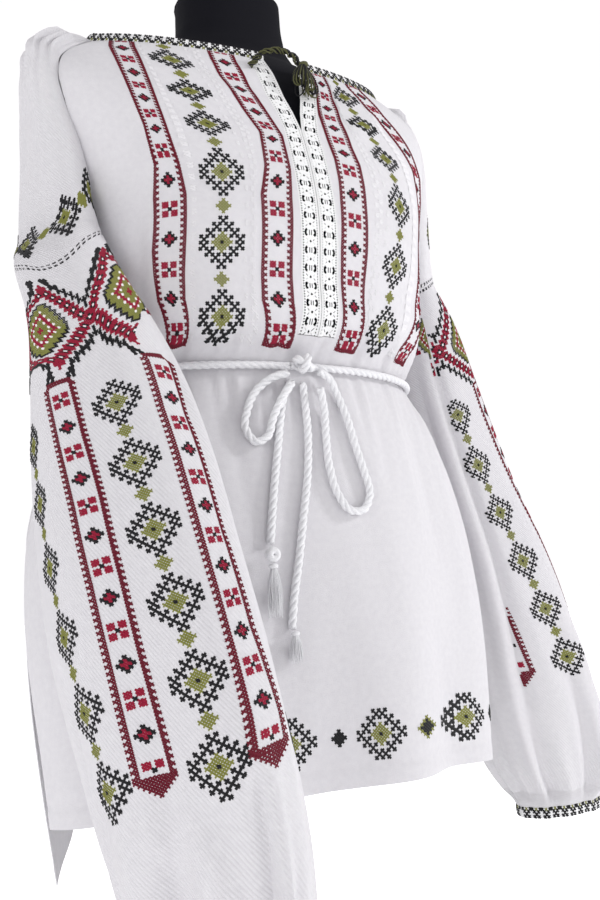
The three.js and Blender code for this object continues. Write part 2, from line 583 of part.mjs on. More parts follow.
const knot = addMesh('bow_knot', new THREE.SphereGeometry(1, KNOT.sides, KNOT.sides / 2), cord);
knot.scale.set(KNOT.wide, KNOT.deep, KNOT.high);
knot.position.set(KNOT.x, knotY, KNOT.z);

// A turned piece from rows of distance up and radius.
const turned = (profile, sides) => {
  const geometry = new THREE.LatheGeometry(profile.map(([up, radius]) => new THREE.Vector2(radius, up)), sides);
  return geometry.rotateX(Math.PI / 2);
};
function addTassel(name, profile, place) {
  const high = last(profile)[0];
  const levels = profile.map(([up]) => frontFace(place.x, place.top - high + up));
  const widest = Math.max(...profile.map(([, radius]) => radius));
  const tassel = addMesh(name, turned(profile, TASSEL_SIDES), cord);
  tassel.position.set(place.x, Math.min(...levels) - widest - place.lift, place.top - high);
}
addTassel('bow_tassel_right', TASSEL_PROFILE, TASSEL_RIGHT);
addTassel('bow_tassel_left', FRINGE_PROFILE, FRINGE_LEFT);

const thread = new THREE.MeshStandardMaterial({ color: 0x4a4d2c, roughness: 0.7 });
const bridgePoints = TIE_BRIDGE.map(({ x, y, z }) => vec(x, y, z));
addMesh('neck_tie', cordGeometry(bridgePoints, TIE_RADIUS, TIE_SIDES, TIE_STEPS), thread);
const tieTassel = addMesh('neck_tie_tassel', turned(TIE_TASSEL_PROFILE, TIE_TASSEL.sides), thread);
tieTassel.position.set(TIE_TASSEL.x, TIE_TASSEL.y, TIE_TASSEL.top - last(TIE_TASSEL_PROFILE)[0]);

// ======== dress form ========
function formGeometry() {
  const vertices = [];
  FORM_LEVELS.forEach(({ z, half, front, back }) => {
    for (let i = 0; i < FORM_SEGMENTS; i += 1) {
      const angle = (2 * Math.PI * i) / FORM_SEGMENTS;
      const [x, y] = ovalPoint(half, Math.cos(angle) > 0 ? front : back, FORM_SQUARE, angle);
      vertices.push(x, -y, z);
    }
  });
  const bottom = vertices.length / 3;
  vertices.push(0, 0, FORM_LEVELS[0].z, 0, 0, last(FORM_LEVELS).z);
  const faces = [];
  const rings = FORM_LEVELS.length;
  for (let r = 0; r < rings; r += 1) {
    for (let i = 0; i < FORM_SEGMENTS; i += 1) {
      const j = (i + 1) % FORM_SEGMENTS;
      const [a, b] = [r * FORM_SEGMENTS + i, r * FORM_SEGMENTS + j];
      if (r === 0) faces.push(b, a, bottom);
      if (r === rings - 1) faces.push(a, b, bottom + 1);
      if (r < rings - 1) faces.push(a, b, b + FORM_SEGMENTS, a, b + FORM_SEGMENTS, a + FORM_SEGMENTS);
    }
  }
  const geometry = new THREE.BufferGeometry();
  geometry.setAttribute('position', new THREE.Float32BufferAttribute(vertices, 3));
  geometry.setIndex(faces);
  return geometry;
}
const jersey = new THREE.MeshStandardMaterial({ color: 0x17171c, roughness: 0.95 });
const steel = new THREE.MeshStandardMaterial({ color: 0x1c1c1e, roughness: 0.45, metalness: 0.6 });
addMesh('form_body', formGeometry(), jersey);
const neckCap = turned(NECK_CAP.profile.map(([radius, up]) => [up, radius]), ROUND_SIDES);
addMesh('form_neck_cap', neckCap, jersey).position.y = NECK_CAP.y;

const plateHeight = UNDER_PLATE.top - UNDER_PLATE.bottom;
const plateRound = new THREE.CylinderGeometry(UNDER_PLATE.radius, UNDER_PLATE.radius, plateHeight, ROUND_SIDES);
const plate = addMesh('form_under_plate', plateRound.rotateX(Math.PI / 2), steel);
plate.position.z = UNDER_PLATE.bottom + plateHeight / 2;
const poleHeight = POLE.top - POLE.bottom;
const poleRound = new THREE.CylinderGeometry(POLE.radius, POLE.radius, poleHeight, ROUND_SIDES);
const pole = addMesh('form_pole', poleRound.rotateX(Math.PI / 2), steel);
pole.position.z = POLE.bottom + poleHeight / 2;
addMesh('form_base', turned(BASE_PROFILE.map(([radius, up]) => [up, radius]), ROUND_SIDES), steel);

export default blouse;
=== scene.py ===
# %% [markdown]
# # A Romanian blouse on a dress form
# The blouse is a white cotton shirt with wide sleeves that are gathered into narrow cuffs. Its front and
# sleeves are worked in counted cross stitch, two strips of lace run down from the neck slit, and a twisted
# cord ties it at the waist. A limbless form carries it. This lesson lays thin cloth over the shapes that the
# frame gives, works the stitches one by one from small charts, and twists the cords from strands.

# %% The frame
import math
import bpy
import numpy as np
from mathutils import Matrix, Vector


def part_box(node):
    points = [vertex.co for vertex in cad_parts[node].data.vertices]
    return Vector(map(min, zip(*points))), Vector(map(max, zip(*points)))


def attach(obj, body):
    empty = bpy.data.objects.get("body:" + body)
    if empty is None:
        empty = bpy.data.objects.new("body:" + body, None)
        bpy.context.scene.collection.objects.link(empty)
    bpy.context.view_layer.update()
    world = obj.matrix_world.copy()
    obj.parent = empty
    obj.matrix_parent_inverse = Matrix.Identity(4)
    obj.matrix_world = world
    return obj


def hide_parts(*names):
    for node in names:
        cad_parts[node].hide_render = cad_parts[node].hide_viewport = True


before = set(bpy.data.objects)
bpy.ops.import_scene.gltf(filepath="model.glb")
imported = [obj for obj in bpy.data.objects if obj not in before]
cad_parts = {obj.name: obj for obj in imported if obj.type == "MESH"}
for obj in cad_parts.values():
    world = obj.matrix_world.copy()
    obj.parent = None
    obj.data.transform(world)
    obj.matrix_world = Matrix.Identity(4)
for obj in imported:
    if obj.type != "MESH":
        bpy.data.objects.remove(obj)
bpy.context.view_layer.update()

# %% [markdown]
# ## Camera
# The camera stands in front of the wearer's right side, a little below the bust, and looks slightly up. A
# camera can be aimed with a constraint, but three plain angles say more clearly how it is held: yaw turns it
# to the side, pitch tips it up, and roll leans it.

# %% Camera
CAMERA_PLACE = (-0.3829, -0.7800, 0.5541)
CAMERA_YAW = 0.5094
CAMERA_PITCH = 0.132
CAMERA_ROLL = -0.0524
CAMERA_LENS = 38.0
CAMERA_SENSOR = 36.0

camera_data = bpy.data.cameras.new("camera")
camera = bpy.data.objects.new("camera", camera_data)
bpy.context.collection.objects.link(camera)
camera_data.sensor_fit = "VERTICAL"
camera_data.sensor_height = CAMERA_SENSOR
camera_data.lens = CAMERA_LENS
looking = Matrix.Rotation(-CAMERA_YAW, 4, "Z") @ Matrix.Rotation(math.pi / 2 + CAMERA_PITCH, 4, "X")
camera.matrix_world = Matrix.Translation(CAMERA_PLACE) @ looking @ Matrix.Rotation(CAMERA_ROLL, 4, "Z")
bpy.context.scene.camera = camera
print("camera looks along", tuple(round(v, 3) for v in -camera.matrix_world.col[2].xyz))

# %% [markdown]
# ## Levels of the body
# The front and the back are each drawn as rows round the body, one for each level. A row says how wide and
# how deep the cloth stands there, where its side edge lies, and how much of the skirt folds shows. Between
# the levels a curve through the rows gives every height, so the cloth is smooth where the frame has facets.

# %% Rows of the front and the back
MM = 0.001
WAIST_HEIGHT = 724
WAIST_ROW = 8


def columns(names, rows):
    """Turns rows of numbers into one array for each named column."""
    return dict(zip(names.split(), np.array(rows, float).T))


LEVEL_NAMES = "zc ze half deep edge lead sag square fold"
FRONT_LEVELS = columns(LEVEL_NAMES, [
    (396, 380, 206, 158, 74, 0, 0, 2.2, 1.0),
    (442, 430, 209, 156, 76, 0, 0, 2.2, 0.92),
    (492, 486, 211, 152, 80, 0, 0, 2.2, 0.82),
    (546, 544, 208, 147, 86, 0, 0, 2.2, 0.7),
    (600, 600, 201, 140, 90, 0, 0, 2.2, 0.55),
    (650, 650, 188, 131, 90, 0, 0, 2.2, 0.38),
    (690, 690, 172, 121, 90, 0, 0, 2.2, 0.2),
    (712, 712, 158, 115, 90, 0, 0, 2.2, 0.05),
    (724, 724, 151, 112, 90, 0, 0, 2.2, 0),
    (735, 735, 153, 119, 90, 0, 0, 2.25, 0),
    (746, 752, 157, 132, 90, 1, 0, 2.3, 0),
    (796, 798, 159, 143, 90, 4, 0, 2.4, 0),
    (846, 842, 162, 146, 90, 7, 0, 2.45, 0),
    (878, 874, 171, 141, 75, 5, 0, 2.4, 0),
    (908, 912, 182, 132, 69, 2, 0, 2.35, 0),
    (936, 950, 192, 122, 68, 0, 0, 2.3, 0),
    (960, 983, 193, 113, 70, 0, 0, 2.25, 0),
    (980, 1006, 180, 106, 73, 0, 0, 2.2, 0),
    (992, 1019, 163, 101, 75, 0, 0, 2.15, 0),
    (1000, 1027, 151, 97, 77, 0, 0, 2.1, 0),
])
BACK_LEVELS = columns(LEVEL_NAMES, [
    (372, 352, 182, 146, 74, 0, 40, 2.2, 1.0),
    (424, 410, 192, 144, 77, 0, 28, 2.2, 0.9),
    (480, 472, 201, 141, 81, 0, 12, 2.2, 0.8),
    (540, 532, 205, 135, 86, 0, 0, 2.2, 0.68),
    (600, 600, 201, 128, 90, 0, 0, 2.2, 0.55),
    (650, 650, 188, 118, 90, 0, 0, 2.2, 0.38),
    (690, 690, 172, 106, 90, 0, 0, 2.2, 0.2),
    (712, 712, 158, 97, 90, 0, 0, 2.2, 0.05),
    (724, 724, 151, 93, 90, 0, 0, 2.2, 0),
    (735, 735, 154, 96, 90, 0, 0, 2.25, 0),
    (752, 752, 157, 104, 90, 1, 0, 2.3, 0),
    (800, 798, 159, 113, 90, 4, 0, 2.4, 0),
    (846, 842, 162, 117, 90, 7, 0, 2.45, 0),
    (884, 874, 171, 118, 75, 5, 0, 2.4, 0),
    (922, 912, 182, 115, 69, 2, 0, 2.35, 0),
    (956, 950, 192, 108, 68, 0, 0, 2.3, 0),
    (986, 983, 193, 98, 70, 0, 0, 2.25, 0),
    (1008, 1007, 180, 88, 73, 0, 0, 2.2, 0),
    (1022, 1021, 163, 80, 75, 0, 0, 2.15, 0),
    (1030, 1029, 151, 75, 77, 0, 0, 2.1, 0),
])
FRONT_FOLDS = columns("at wide out", [
    (-0.86, 0.16, 8), (-0.6, 0.13, -9), (-0.36, 0.14, 8), (-0.08, 0.15, -8),
    (0.16, 0.14, 7), (0.42, 0.15, -10), (0.66, 0.15, 7), (0.88, 0.12, -6),
])
BACK_FOLDS = columns("at wide out", [
    (-0.82, 0.16, -9), (-0.54, 0.15, 9), (-0.26, 0.14, -8), (0.02, 0.16, 9),
    (0.3, 0.15, -8), (0.58, 0.14, 8), (0.84, 0.15, -7),
])


def through(knots, values, at):
    """A smooth curve through values at uneven knots."""
    step = np.diff(knots)
    rate = np.diff(values) / step
    slope = np.empty_like(values)
    slope[1:-1] = (rate[:-1] * step[1:] + rate[1:] * step[:-1]) / (step[:-1] + step[1:])
    slope[0] = rate[0]
    slope[-1] = rate[-1]
    i = np.clip(np.searchsorted(knots, at, side="right") - 1, 0, len(knots) - 2)
    f = (at - knots[i]) / step[i]
    start = (2 * f**3 - 3 * f**2 + 1) * values[i] + (f**3 - 2 * f**2 + f) * step[i] * slope[i]
    end = (3 * f**2 - 2 * f**3) * values[i + 1] + (f**3 - f**2) * step[i] * slope[i + 1]
    return start + end


def oval(angle, half, deep, square):
    """x and y of a rounded oval, at an angle from the y axis."""
    power = 2 / square
    x = np.sign(np.sin(angle)) * half * np.abs(np.sin(angle)) ** power
    y = np.sign(np.cos(angle)) * deep * np.abs(np.cos(angle)) ** power
    return x, y


def panel(levels, facing, folds, height, place):
    """Points of the front (facing -1) or the back (facing 1). height is the height at the centre line, and
    place runs from -1 at the wearer's right side edge to 1 at the left one."""
    row = {name: through(levels["zc"], levels[name], height) for name in levels}
    to_right = place < 0
    angle = np.radians(row["edge"] + np.where(to_right, facing * row["lead"], 0)) * place
    x, y = oval(angle, row["half"], row["deep"], row["square"])
    z = row["zc"] + (row["ze"] - row["zc"]) * place**2 - np.where(to_right, row["sag"], 0) * place**4
    out = 0
    for at, wide, high in zip(folds["at"], folds["wide"], folds["out"]):
        out = out + high * np.exp(-(((place - at) / wide) ** 2))
    across, ahead = x / row["half"] ** 2, y / row["deep"] ** 2
    share = row["fold"] * out / np.hypot(across, ahead)
    return np.stack([x + across * share, facing * (y + ahead * share), z], -1)


FRONT_FOOT, FRONT_TOP = FRONT_LEVELS["zc"][[0, -1]]
BACK_FOOT, BACK_TOP = BACK_LEVELS["zc"][[0, -1]]
print("levels", len(FRONT_LEVELS["zc"]), "front and", len(BACK_LEVELS["zc"]), "back")

# %% [markdown]
# ## Soft creases
# Real cotton is never quite smooth. Each crease here is a short line across the flat piece with a width and a
# height: a ridge stands out and a trough goes in. They are listed one by one, uneven in length and depth. A
# fixed wave would repeat itself, and a simulation would lose the places of the embroidery.

# %% Creases and outward directions


def creases(rows, across, along):
    """Height of listed creases at a place on the flat cloth. A row holds two ends, width and height."""
    total = np.zeros(np.broadcast(across, along).shape)
    for a0, b0, a1, b1, wide, high in rows:
        run, rise = a1 - a0, b1 - b0
        part = np.clip(((across - a0) * run + (along - b0) * rise) / (run**2 + rise**2), 0, 1)
        away = np.hypot(across - a0 - part * run, along - b0 - part * rise)
        total += high * np.sqrt(np.sin(np.pi * (0.04 + 0.92 * part))) * np.exp(-((away / wide) ** 2))
    return total


def outward(surface, first, second, step_first, step_second, turn=1):
    """Unit directions square to a surface that is a function of two values."""
    one = surface(first + step_first, second) - surface(first - step_first, second)
    other = surface(first, second + step_second) - surface(first, second - step_second)
    normal = turn * np.cross(one, other)
    return normal / np.linalg.norm(normal, axis=-1, keepdims=True)


def soft_step(value, low, high):
    """0 below low, 1 above high, and a smooth rise between."""
    part = np.clip((value - low) / (high - low), 0, 1)
    return part * part * (3 - 2 * part)


# %% Distances along the rows of the front and the back
HEM_TURN = 13.0
HEM_PUCKER = 0.8
TABLE_STEP = 2.0
DISTANCES = np.arange(-330.0, 331.0, TABLE_STEP)
PLACES = np.linspace(-1, 1, 601)


def places_by_distance(levels, facing, folds, heights):
    """For each height, the place at every distance from the centre line."""
    points = panel(levels, facing, folds, heights[:, None], PLACES[None, :])
    steps = np.linalg.norm(np.diff(points, axis=1), axis=2)
    walked = np.concatenate([np.zeros((len(heights), 1)), np.cumsum(steps, axis=1)], axis=1)
    walked -= walked[:, [len(PLACES) // 2]]
    return np.array([np.interp(DISTANCES, row, PLACES) for row in walked]), walked


def lookup(grid, rows, cols):
    """Value of a table between its rows and columns."""
    r = np.clip(rows, 0, grid.shape[0] - 1.001)
    c = np.clip(cols, 0, grid.shape[1] - 1.001)
    r0, c0 = r.astype(int), c.astype(int)
    fr, fc = r - r0, c - c0
    low = grid[r0, c0] * (1 - fc) + grid[r0, c0 + 1] * fc
    high = grid[r0 + 1, c0] * (1 - fc) + grid[r0 + 1, c0 + 1] * fc
    return low * (1 - fr) + high * fr


class Panel:
    """The front or the back as a smooth surface of height and place, with its creases."""

    def __init__(self, levels, facing, folds, crease_rows, waist):
        self.levels, self.facing, self.folds = levels, facing, folds
        self.crease_rows, self.waist = crease_rows, waist
        self.heights = np.arange(levels["zc"][0], levels["zc"][-1] + 1, TABLE_STEP)
        self.place_table, self.walked = places_by_distance(levels, facing, folds, self.heights)

    def bare(self, height, place):
        return panel(self.levels, self.facing, self.folds, height, place)

    def distance(self, height, place):
        row = (height - self.heights[0]) / TABLE_STEP
        return lookup(self.walked, row, (place + 1) / 2 * (len(PLACES) - 1))

    def place(self, height, distance):
        row = (height - self.heights[0]) / TABLE_STEP
        return lookup(self.place_table, row, (distance - DISTANCES[0]) / TABLE_STEP)

    def relief(self, height, distance):
        """Creases, and the small gathers that the waist cord draws in."""
        gathers = 0
        for pitch, phase, high in self.waist:
            gathers = gathers + high * np.sin(2 * np.pi * distance / pitch + phase)
        over = height - WAIST_HEIGHT
        below = np.exp(-(((over + 12) / 46) ** 2)) * soft_step(over, -164, -24)
        above = np.exp(-(((over - 11) / 16) ** 2))
        near = np.where(over < 0, below, above) * np.clip(np.abs(over) / 10, 0.25, 1)
        from_hem = height - self.heights[0] - HEM_TURN
        puckers = HEM_PUCKER * (0.6 + 0.4 * np.sin(distance / 1.9) + 0.3 * np.sin(distance / 3.1))
        hem = -puckers * np.exp(-((from_hem / 1.6) ** 2)) + 0.35 * (1 - soft_step(from_hem, -2, 1))
        return creases(self.crease_rows, distance, height) + gathers * near + hem

    def point(self, height, place, lift=0.0):
        normal = outward(self.bare, height, place, 1.0, 0.004, turn=self.facing)
        high = self.relief(height, self.distance(height, place)) + lift
        return self.bare(height, place) + normal * np.asarray(high)[..., None]


# Columns: distance and height of one end, of the other end, width and height of the crease. Distances are
# millimetres from the centre line, negative on the wearer's right.
FRONT_CREASES = [
    (-120, 690, -132, 560, 9, -2.6), (-98, 700, -106, 600, 7, 1.8), (-74, 704, -70, 610, 6, -1.6),
    (-48, 700, -56, 590, 8, 1.4), (66, 704, 62, 620, 6, -1.8), (84, 700, 96, 585, 8, 2.2),
    (112, 704, 128, 560, 9, -2.8), (150, 690, 166, 520, 11, 2.4), (-168, 690, -176, 520, 12, 2.2),
    (30, 640, 44, 470, 16, -1.6), (-20, 560, -34, 430, 15, 1.6), (100, 520, 118, 410, 14, -2.2),
    (-128, 752, -140, 830, 8, 2.0), (-150, 756, -150, 850, 7, -2.2), (140, 756, 150, 840, 8, 1.8),
    (168, 760, 160, 850, 8, -2.2), (-92, 985, -30, 962, 8, -2.6), (-110, 972, -48, 946, 9, 2.4),
    (-130, 930, -160, 880, 9, -2.4), (-146, 950, -120, 900, 10, 1.8), (60, 985, 30, 958, 7, -2.2),
    (96, 966, 50, 930, 9, 2.2), (150, 930, 170, 870, 9, -2.4), (-60, 930, -110, 905, 9, -1.2),
]
BACK_CREASES = [
    (-130, 696, -138, 560, 10, -2.4), (-96, 700, -88, 600, 8, 2.0), (-50, 702, -58, 580, 9, -1.8),
    (-12, 700, -4, 560, 9, 1.8), (36, 702, 44, 600, 8, -2.0), (80, 700, 76, 570, 9, 2.2),
    (126, 698, 138, 550, 10, -2.4), (-100, 752, -120, 850, 9, 2.0), (-50, 756, -40, 880, 11, -1.8),
    (20, 752, 30, 900, 12, 1.8), (74, 756, 96, 860, 9, -2.2), (130, 756, 140, 850, 8, 2.2),
    (-120, 960, -60, 990, 10, -2.0), (60, 990, 120, 955, 10, -2.0), (-20, 470, -8, 380, 14, -2.0),
    (70, 500, 60, 390, 15, 2.0), (-90, 500, -96, 400, 15, 1.8),
]
front_panel = Panel(FRONT_LEVELS, -1, FRONT_FOLDS, FRONT_CREASES,
                    [(13.0, 0.4, 0.9), (19.0, 2.1, 0.8), (31.0, 1.2, 0.7)])
back_panel = Panel(BACK_LEVELS, 1, BACK_FOLDS, BACK_CREASES,
                   [(14.0, 1.4, 1.0), (21.0, 0.6, 0.9), (34.0, 2.4, 0.8)])
half_girths = [body.distance(np.array([WAIST_HEIGHT]), np.ones(1))[0] for body in (front_panel, back_panel)]
print("girth at the waist", round(2 * sum(half_girths)), "mm")

# %% [markdown]
# ## Threads, cloth and metal
# The finishes are made of nodes. A small class wraps one socket, so that a mask or a height is written as an
# ordinary sum. The cloth reads its own flat map in metres, so the weave follows the cloth round the body. It
# would slide over the folds if it were taken straight from space.

# %% Arithmetic on sockets


class Wire:
    """One socket of a node tree. Sums of wires add Math nodes, and node() adds any other node."""

    def __init__(self, tree, socket=None):
        self.tree, self.socket = tree, socket

    def node(self, kind, settings=None, inputs=None, output=0):
        made = self.tree.nodes.new(kind)
        for name, value in (settings or {}).items():
            setattr(made, name, value)
        for place, value in (inputs or {}).items():
            if isinstance(value, Wire):
                self.tree.links.new(value.socket, made.inputs[place])
            else:
                made.inputs[place].default_value = value
        return Wire(self.tree, made.outputs[output])

    def maths(self, operation, first, second=0.0):
        return self.node("ShaderNodeMath", {"operation": operation}, {0: first, 1: second})

    def __add__(self, other):
        return self.maths("ADD", self, other)

    def __sub__(self, other):
        return self.maths("SUBTRACT", self, other)

    def __rsub__(self, other):
        return self.maths("SUBTRACT", other, self)

    def __mul__(self, other):
        return self.maths("MULTIPLY", self, other)

    def __lt__(self, other):
        return self.maths("LESS_THAN", self, other)

    def sin(self):
        return self.maths("SINE", self)

    def abs(self):
        return self.maths("ABSOLUTE", self)

    def wrap(self, period):
        """Distance from the nearest multiple of the period."""
        return self.maths("PINGPONG", self, period / 2)

    def mix(self, low, high):
        """A colour between two colours, by this factor."""
        return self.node("ShaderNodeMix", {"data_type": "RGBA"}, {0: self, 6: low, 7: high}, output=2)


def finish_material(name, build, **constants):
    """A material whose shader has constants, and what build returns for its other sockets."""
    material = bpy.data.materials.new(name)
    material.use_nodes = True
    tree = material.node_tree
    shader = tree.nodes["Principled BSDF"]
    for socket, value in constants.items():
        shader.inputs[socket.replace("_", " ").title().replace("Ior", "IOR")].default_value = value
    for socket, wire in build(Wire(tree)).items():
        tree.links.new(wire.socket, shader.inputs[socket])
    return material


def flat_map(start, name="weave"):
    """Across and along of the cloth's own map."""
    both = start.node("ShaderNodeUVMap", {"uv_map": name})
    parts = start.node("ShaderNodeSeparateXYZ", None, {0: both})
    return both, parts, Wire(start.tree, parts.socket.node.outputs[1])


def bump(start, height, strength, distance):
    return start.node("ShaderNodeBump", None, {"Height": height, "Strength": strength, "Distance": distance})


def noise(start, place, grain, detail):
    return start.node("ShaderNodeTexNoise", None, {"Vector": place, "Scale": 1 / grain, "Detail": detail})


# %% Cotton
THREAD_PITCH = 0.9 * MM
COTTON_LIGHT = (0.78, 0.77, 0.79, 1)
COTTON_SHADE = (0.62, 0.605, 0.64, 1)
SLUB_SIZE = 5 * MM
DOBBY_PITCH = 3.2 * MM
# The drawn holes, in stitches of the sleeve's chart: two rows of them beside a middle row.
HOLE_ROW = -30.5
HOLE_PITCH = 2.6
HOLE_HALF_WIDTH = 0.8
HOLE_FROM_MIDDLE = 0.95
HOLE_HALF_HEIGHT = 0.55


def cotton(name, diagonal=0.0, drawn_holes=False):
    """Plain weave. diagonal adds fine slanting lines, and drawn_holes opens a row of holes on the sleeve."""
    def build(start):
        both, across, along = flat_map(start)
        thread = 2 * math.pi / THREAD_PITCH
        weave = (across * thread).sin() * (along * thread).sin()
        slubs = noise(start, both, SLUB_SIZE, 3.0)
        fine = noise(start, both, SLUB_SIZE / 6, 1.0)
        height = weave * 0.35 + slubs * 0.8 + fine * 0.9
        if diagonal:
            lines = (across + along * 0.8) * (2 * math.pi / DOBBY_PITCH)
            height = height + lines.sin() * diagonal
        colour = (slubs * 0.6 + fine * 0.4).mix(COTTON_SHADE, COTTON_LIGHT)
        made = {"Base Color": colour, "Normal": bump(start, height, 0.9, 0.3 * MM)}
        if drawn_holes:
            _, column, row = flat_map(start, "chart")
            off_row = ((row - HOLE_ROW).abs() - HOLE_FROM_MIDDLE).abs()
            made["Alpha"] = 1 - (column.wrap(HOLE_PITCH) < HOLE_HALF_WIDTH) * (off_row < HOLE_HALF_HEIGHT)
        return made
    return finish_material(name, build, roughness=0.9, sheen_weight=0.05, sheen_roughness=0.5)


cotton_plain = cotton("cotton_plain")
cotton_sleeve = cotton("cotton_sleeve", diagonal=0.5, drawn_holes=True)

# %% Thread, cord, jersey and steel
# Threads in the order of their chart numbers. Columns: red, green and blue, how far a stitch fills its
# square, and the thread's width as a share of its length.
THREADS = {
    "black": (0.0035, 0.0035, 0.005, 0.96, 0.56),
    "rail": (0.125, 0.002, 0.014, 0.86, 0.48),
    "crimson": (0.270, 0.002, 0.027, 0.92, 0.50),
    "olive": (0.200, 0.205, 0.045, 0.92, 0.40),
    "white": (0.80, 0.79, 0.80, 0.84, 0.70),
    "relief": (0.70, 0.69, 0.71, 0.80, 0.40),
    "outline": (0.0035, 0.0035, 0.005, 0.72, 0.40),
}


def spun(name, colour, grain, roughness, depth, **constants):
    """Spun yarn: a slightly uneven colour and a fine grain."""
    lighter = tuple(min(1.0, c * 1.25 + 0.004) for c in colour) + (1,)
    darker = tuple(c * 0.78 for c in colour) + (1,)

    def build(start):
        place = start.node("ShaderNodeTexCoord", output=3)
        grains = noise(start, place, grain, 2.0)
        return {"Base Color": grains.mix(darker, lighter), "Normal": bump(start, grains, 0.5, depth)}
    constants = {"roughness": roughness, "sheen_weight": 0.2, "specular_ior_level": 0.3, **constants}
    return finish_material(name, build, **constants)


threads = {name: spun("thread_" + name, row[:3], 0.5 * MM, 0.7, 0.15 * MM, sheen_weight=0.02)
           for name, row in THREADS.items()}
cord_yarn = spun("cord_yarn", (0.76, 0.76, 0.78), 0.7 * MM, 0.8, 0.3 * MM)
lace_yarn = spun("lace_yarn", (0.80, 0.80, 0.81), 0.6 * MM, 0.85, 0.3 * MM)
band_cloth = spun("band_cloth", (0.78, 0.78, 0.79), 0.8 * MM, 0.85, 0.2 * MM)
jersey = spun("jersey", (0.0045, 0.0045, 0.0075), 0.6 * MM, 0.95, 0.15 * MM,
              sheen_weight=0.0, specular_ior_level=0.12)
tie_olive = spun("tie_olive", (0.075, 0.077, 0.028), 0.5 * MM, 0.7, 0.15 * MM, sheen_weight=0.02)
base_steel = spun("base_steel", (0.02, 0.02, 0.022), 2 * MM, 0.42, 0.02 * MM, sheen_weight=0.0, metallic=0.6)
print("finishes", len(bpy.data.materials))

# %% [markdown]
# ## Twisted cord
# The waist cord is twisted from strands. A single tube with a bump would look like a hose, so every strand
# is laid as its own tube round the middle line, and the strands are pressed into each other a little. The
# middle line goes smoothly through listed points on the front of the blouse.

# %% Helpers for cords


def through_points(knots, points, at):
    """A smooth curve through points in space."""
    return np.stack([through(knots, points[:, k], at) for k in range(3)], -1)


def walk(line):
    """Length along a line up to each of its points."""
    return np.concatenate([[0], np.cumsum(np.linalg.norm(np.diff(line, axis=0), axis=1))])


def evenly(line, count):
    """The same line with points at even lengths."""
    walked = walk(line)
    even = np.linspace(0, walked[-1], count)
    return np.stack([np.interp(even, walked, line[:, k]) for k in range(3)], -1)


def smooth_line(points, spacing):
    """A smooth line through points, at even spacing."""
    points = np.asarray(points, float)
    knots = walk(points)
    line = through_points(knots, points, np.linspace(0, knots[-1], 40 * len(points)))
    return evenly(line, max(4, int(round(walk(line)[-1] / spacing)) + 1))


def length_of(line):
    return float(np.linalg.norm(np.diff(line, axis=0), axis=1).sum())


def frames_along(line):
    """Two directions square to a line at each of its points, turned as little as possible on the way."""
    ahead = np.gradient(line, axis=0)
    ahead /= np.linalg.norm(ahead, axis=1, keepdims=True)
    side = np.cross(ahead[0], (0.3, 0.2, 0.93))
    sides = []
    for direction in ahead:
        side = side - direction * (side @ direction)
        side = side / np.linalg.norm(side)
        sides.append(side)
    sides = np.array(sides)
    return sides, np.cross(ahead, sides)


def ring_faces(rings, sides):
    """Faces of a row of rings, with both ends closed."""
    faces = []
    for i in range(rings - 1):
        for k in range(sides):
            a, b = i * sides + k, i * sides + (k + 1) % sides
            faces.append((a, b, b + sides, a + sides))
    faces.append(tuple(reversed(range(sides))))
    faces.append(tuple(range((rings - 1) * sides, rings * sides)))
    return faces


def tube_mesh(line, radius, sides):
    """Vertices and faces of a closed tube. radius is a number or one for each point."""
    one, other = frames_along(line)
    angles = np.linspace(0, 2 * np.pi, sides, endpoint=False)
    ring = np.cos(angles)[None, :, None] * one[:, None] + np.sin(angles)[None, :, None] * other[:, None]
    vertices = (line[:, None] + ring * np.broadcast_to(radius, len(line))[:, None, None]).reshape(-1, 3)
    return vertices, ring_faces(len(line), sides)


def joined(parts):
    """Several lists of vertices and faces as one."""
    vertices, faces, count = [], [], 0
    for points, polygons in parts:
        vertices.append(points)
        faces += [tuple(v + count for v in polygon) for polygon in polygons]
        count += len(points)
    return np.concatenate(vertices), faces


def mesh_object(name, vertices, faces, *materials, smooth=True):
    """A mesh object from points in millimetres."""
    mesh = bpy.data.meshes.new(name)
    mesh.from_pydata((np.asarray(vertices) * MM).tolist(), [], faces)
    mesh.update()
    if smooth:
        mesh.polygons.foreach_set("use_smooth", [True] * len(mesh.polygons))
    thing = bpy.data.objects.new(name, mesh)
    bpy.context.collection.objects.link(thing)
    for material in materials:
        mesh.materials.append(material)
    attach(thing, "root")
    return thing


def strands(line, radius, pitch, count, sides=8, start=0.0):
    """Strands twisted round a middle line."""
    one, other = frames_along(line)
    walked = walk(line)
    parts = []
    for k in range(count):
        turn = start + 2 * np.pi * (walked / pitch + k / count)
        around = np.cos(turn)[:, None] * one + np.sin(turn)[:, None] * other
        parts.append(tube_mesh(line + around * radius * 0.47, radius * 0.55, sides))
    return joined(parts)


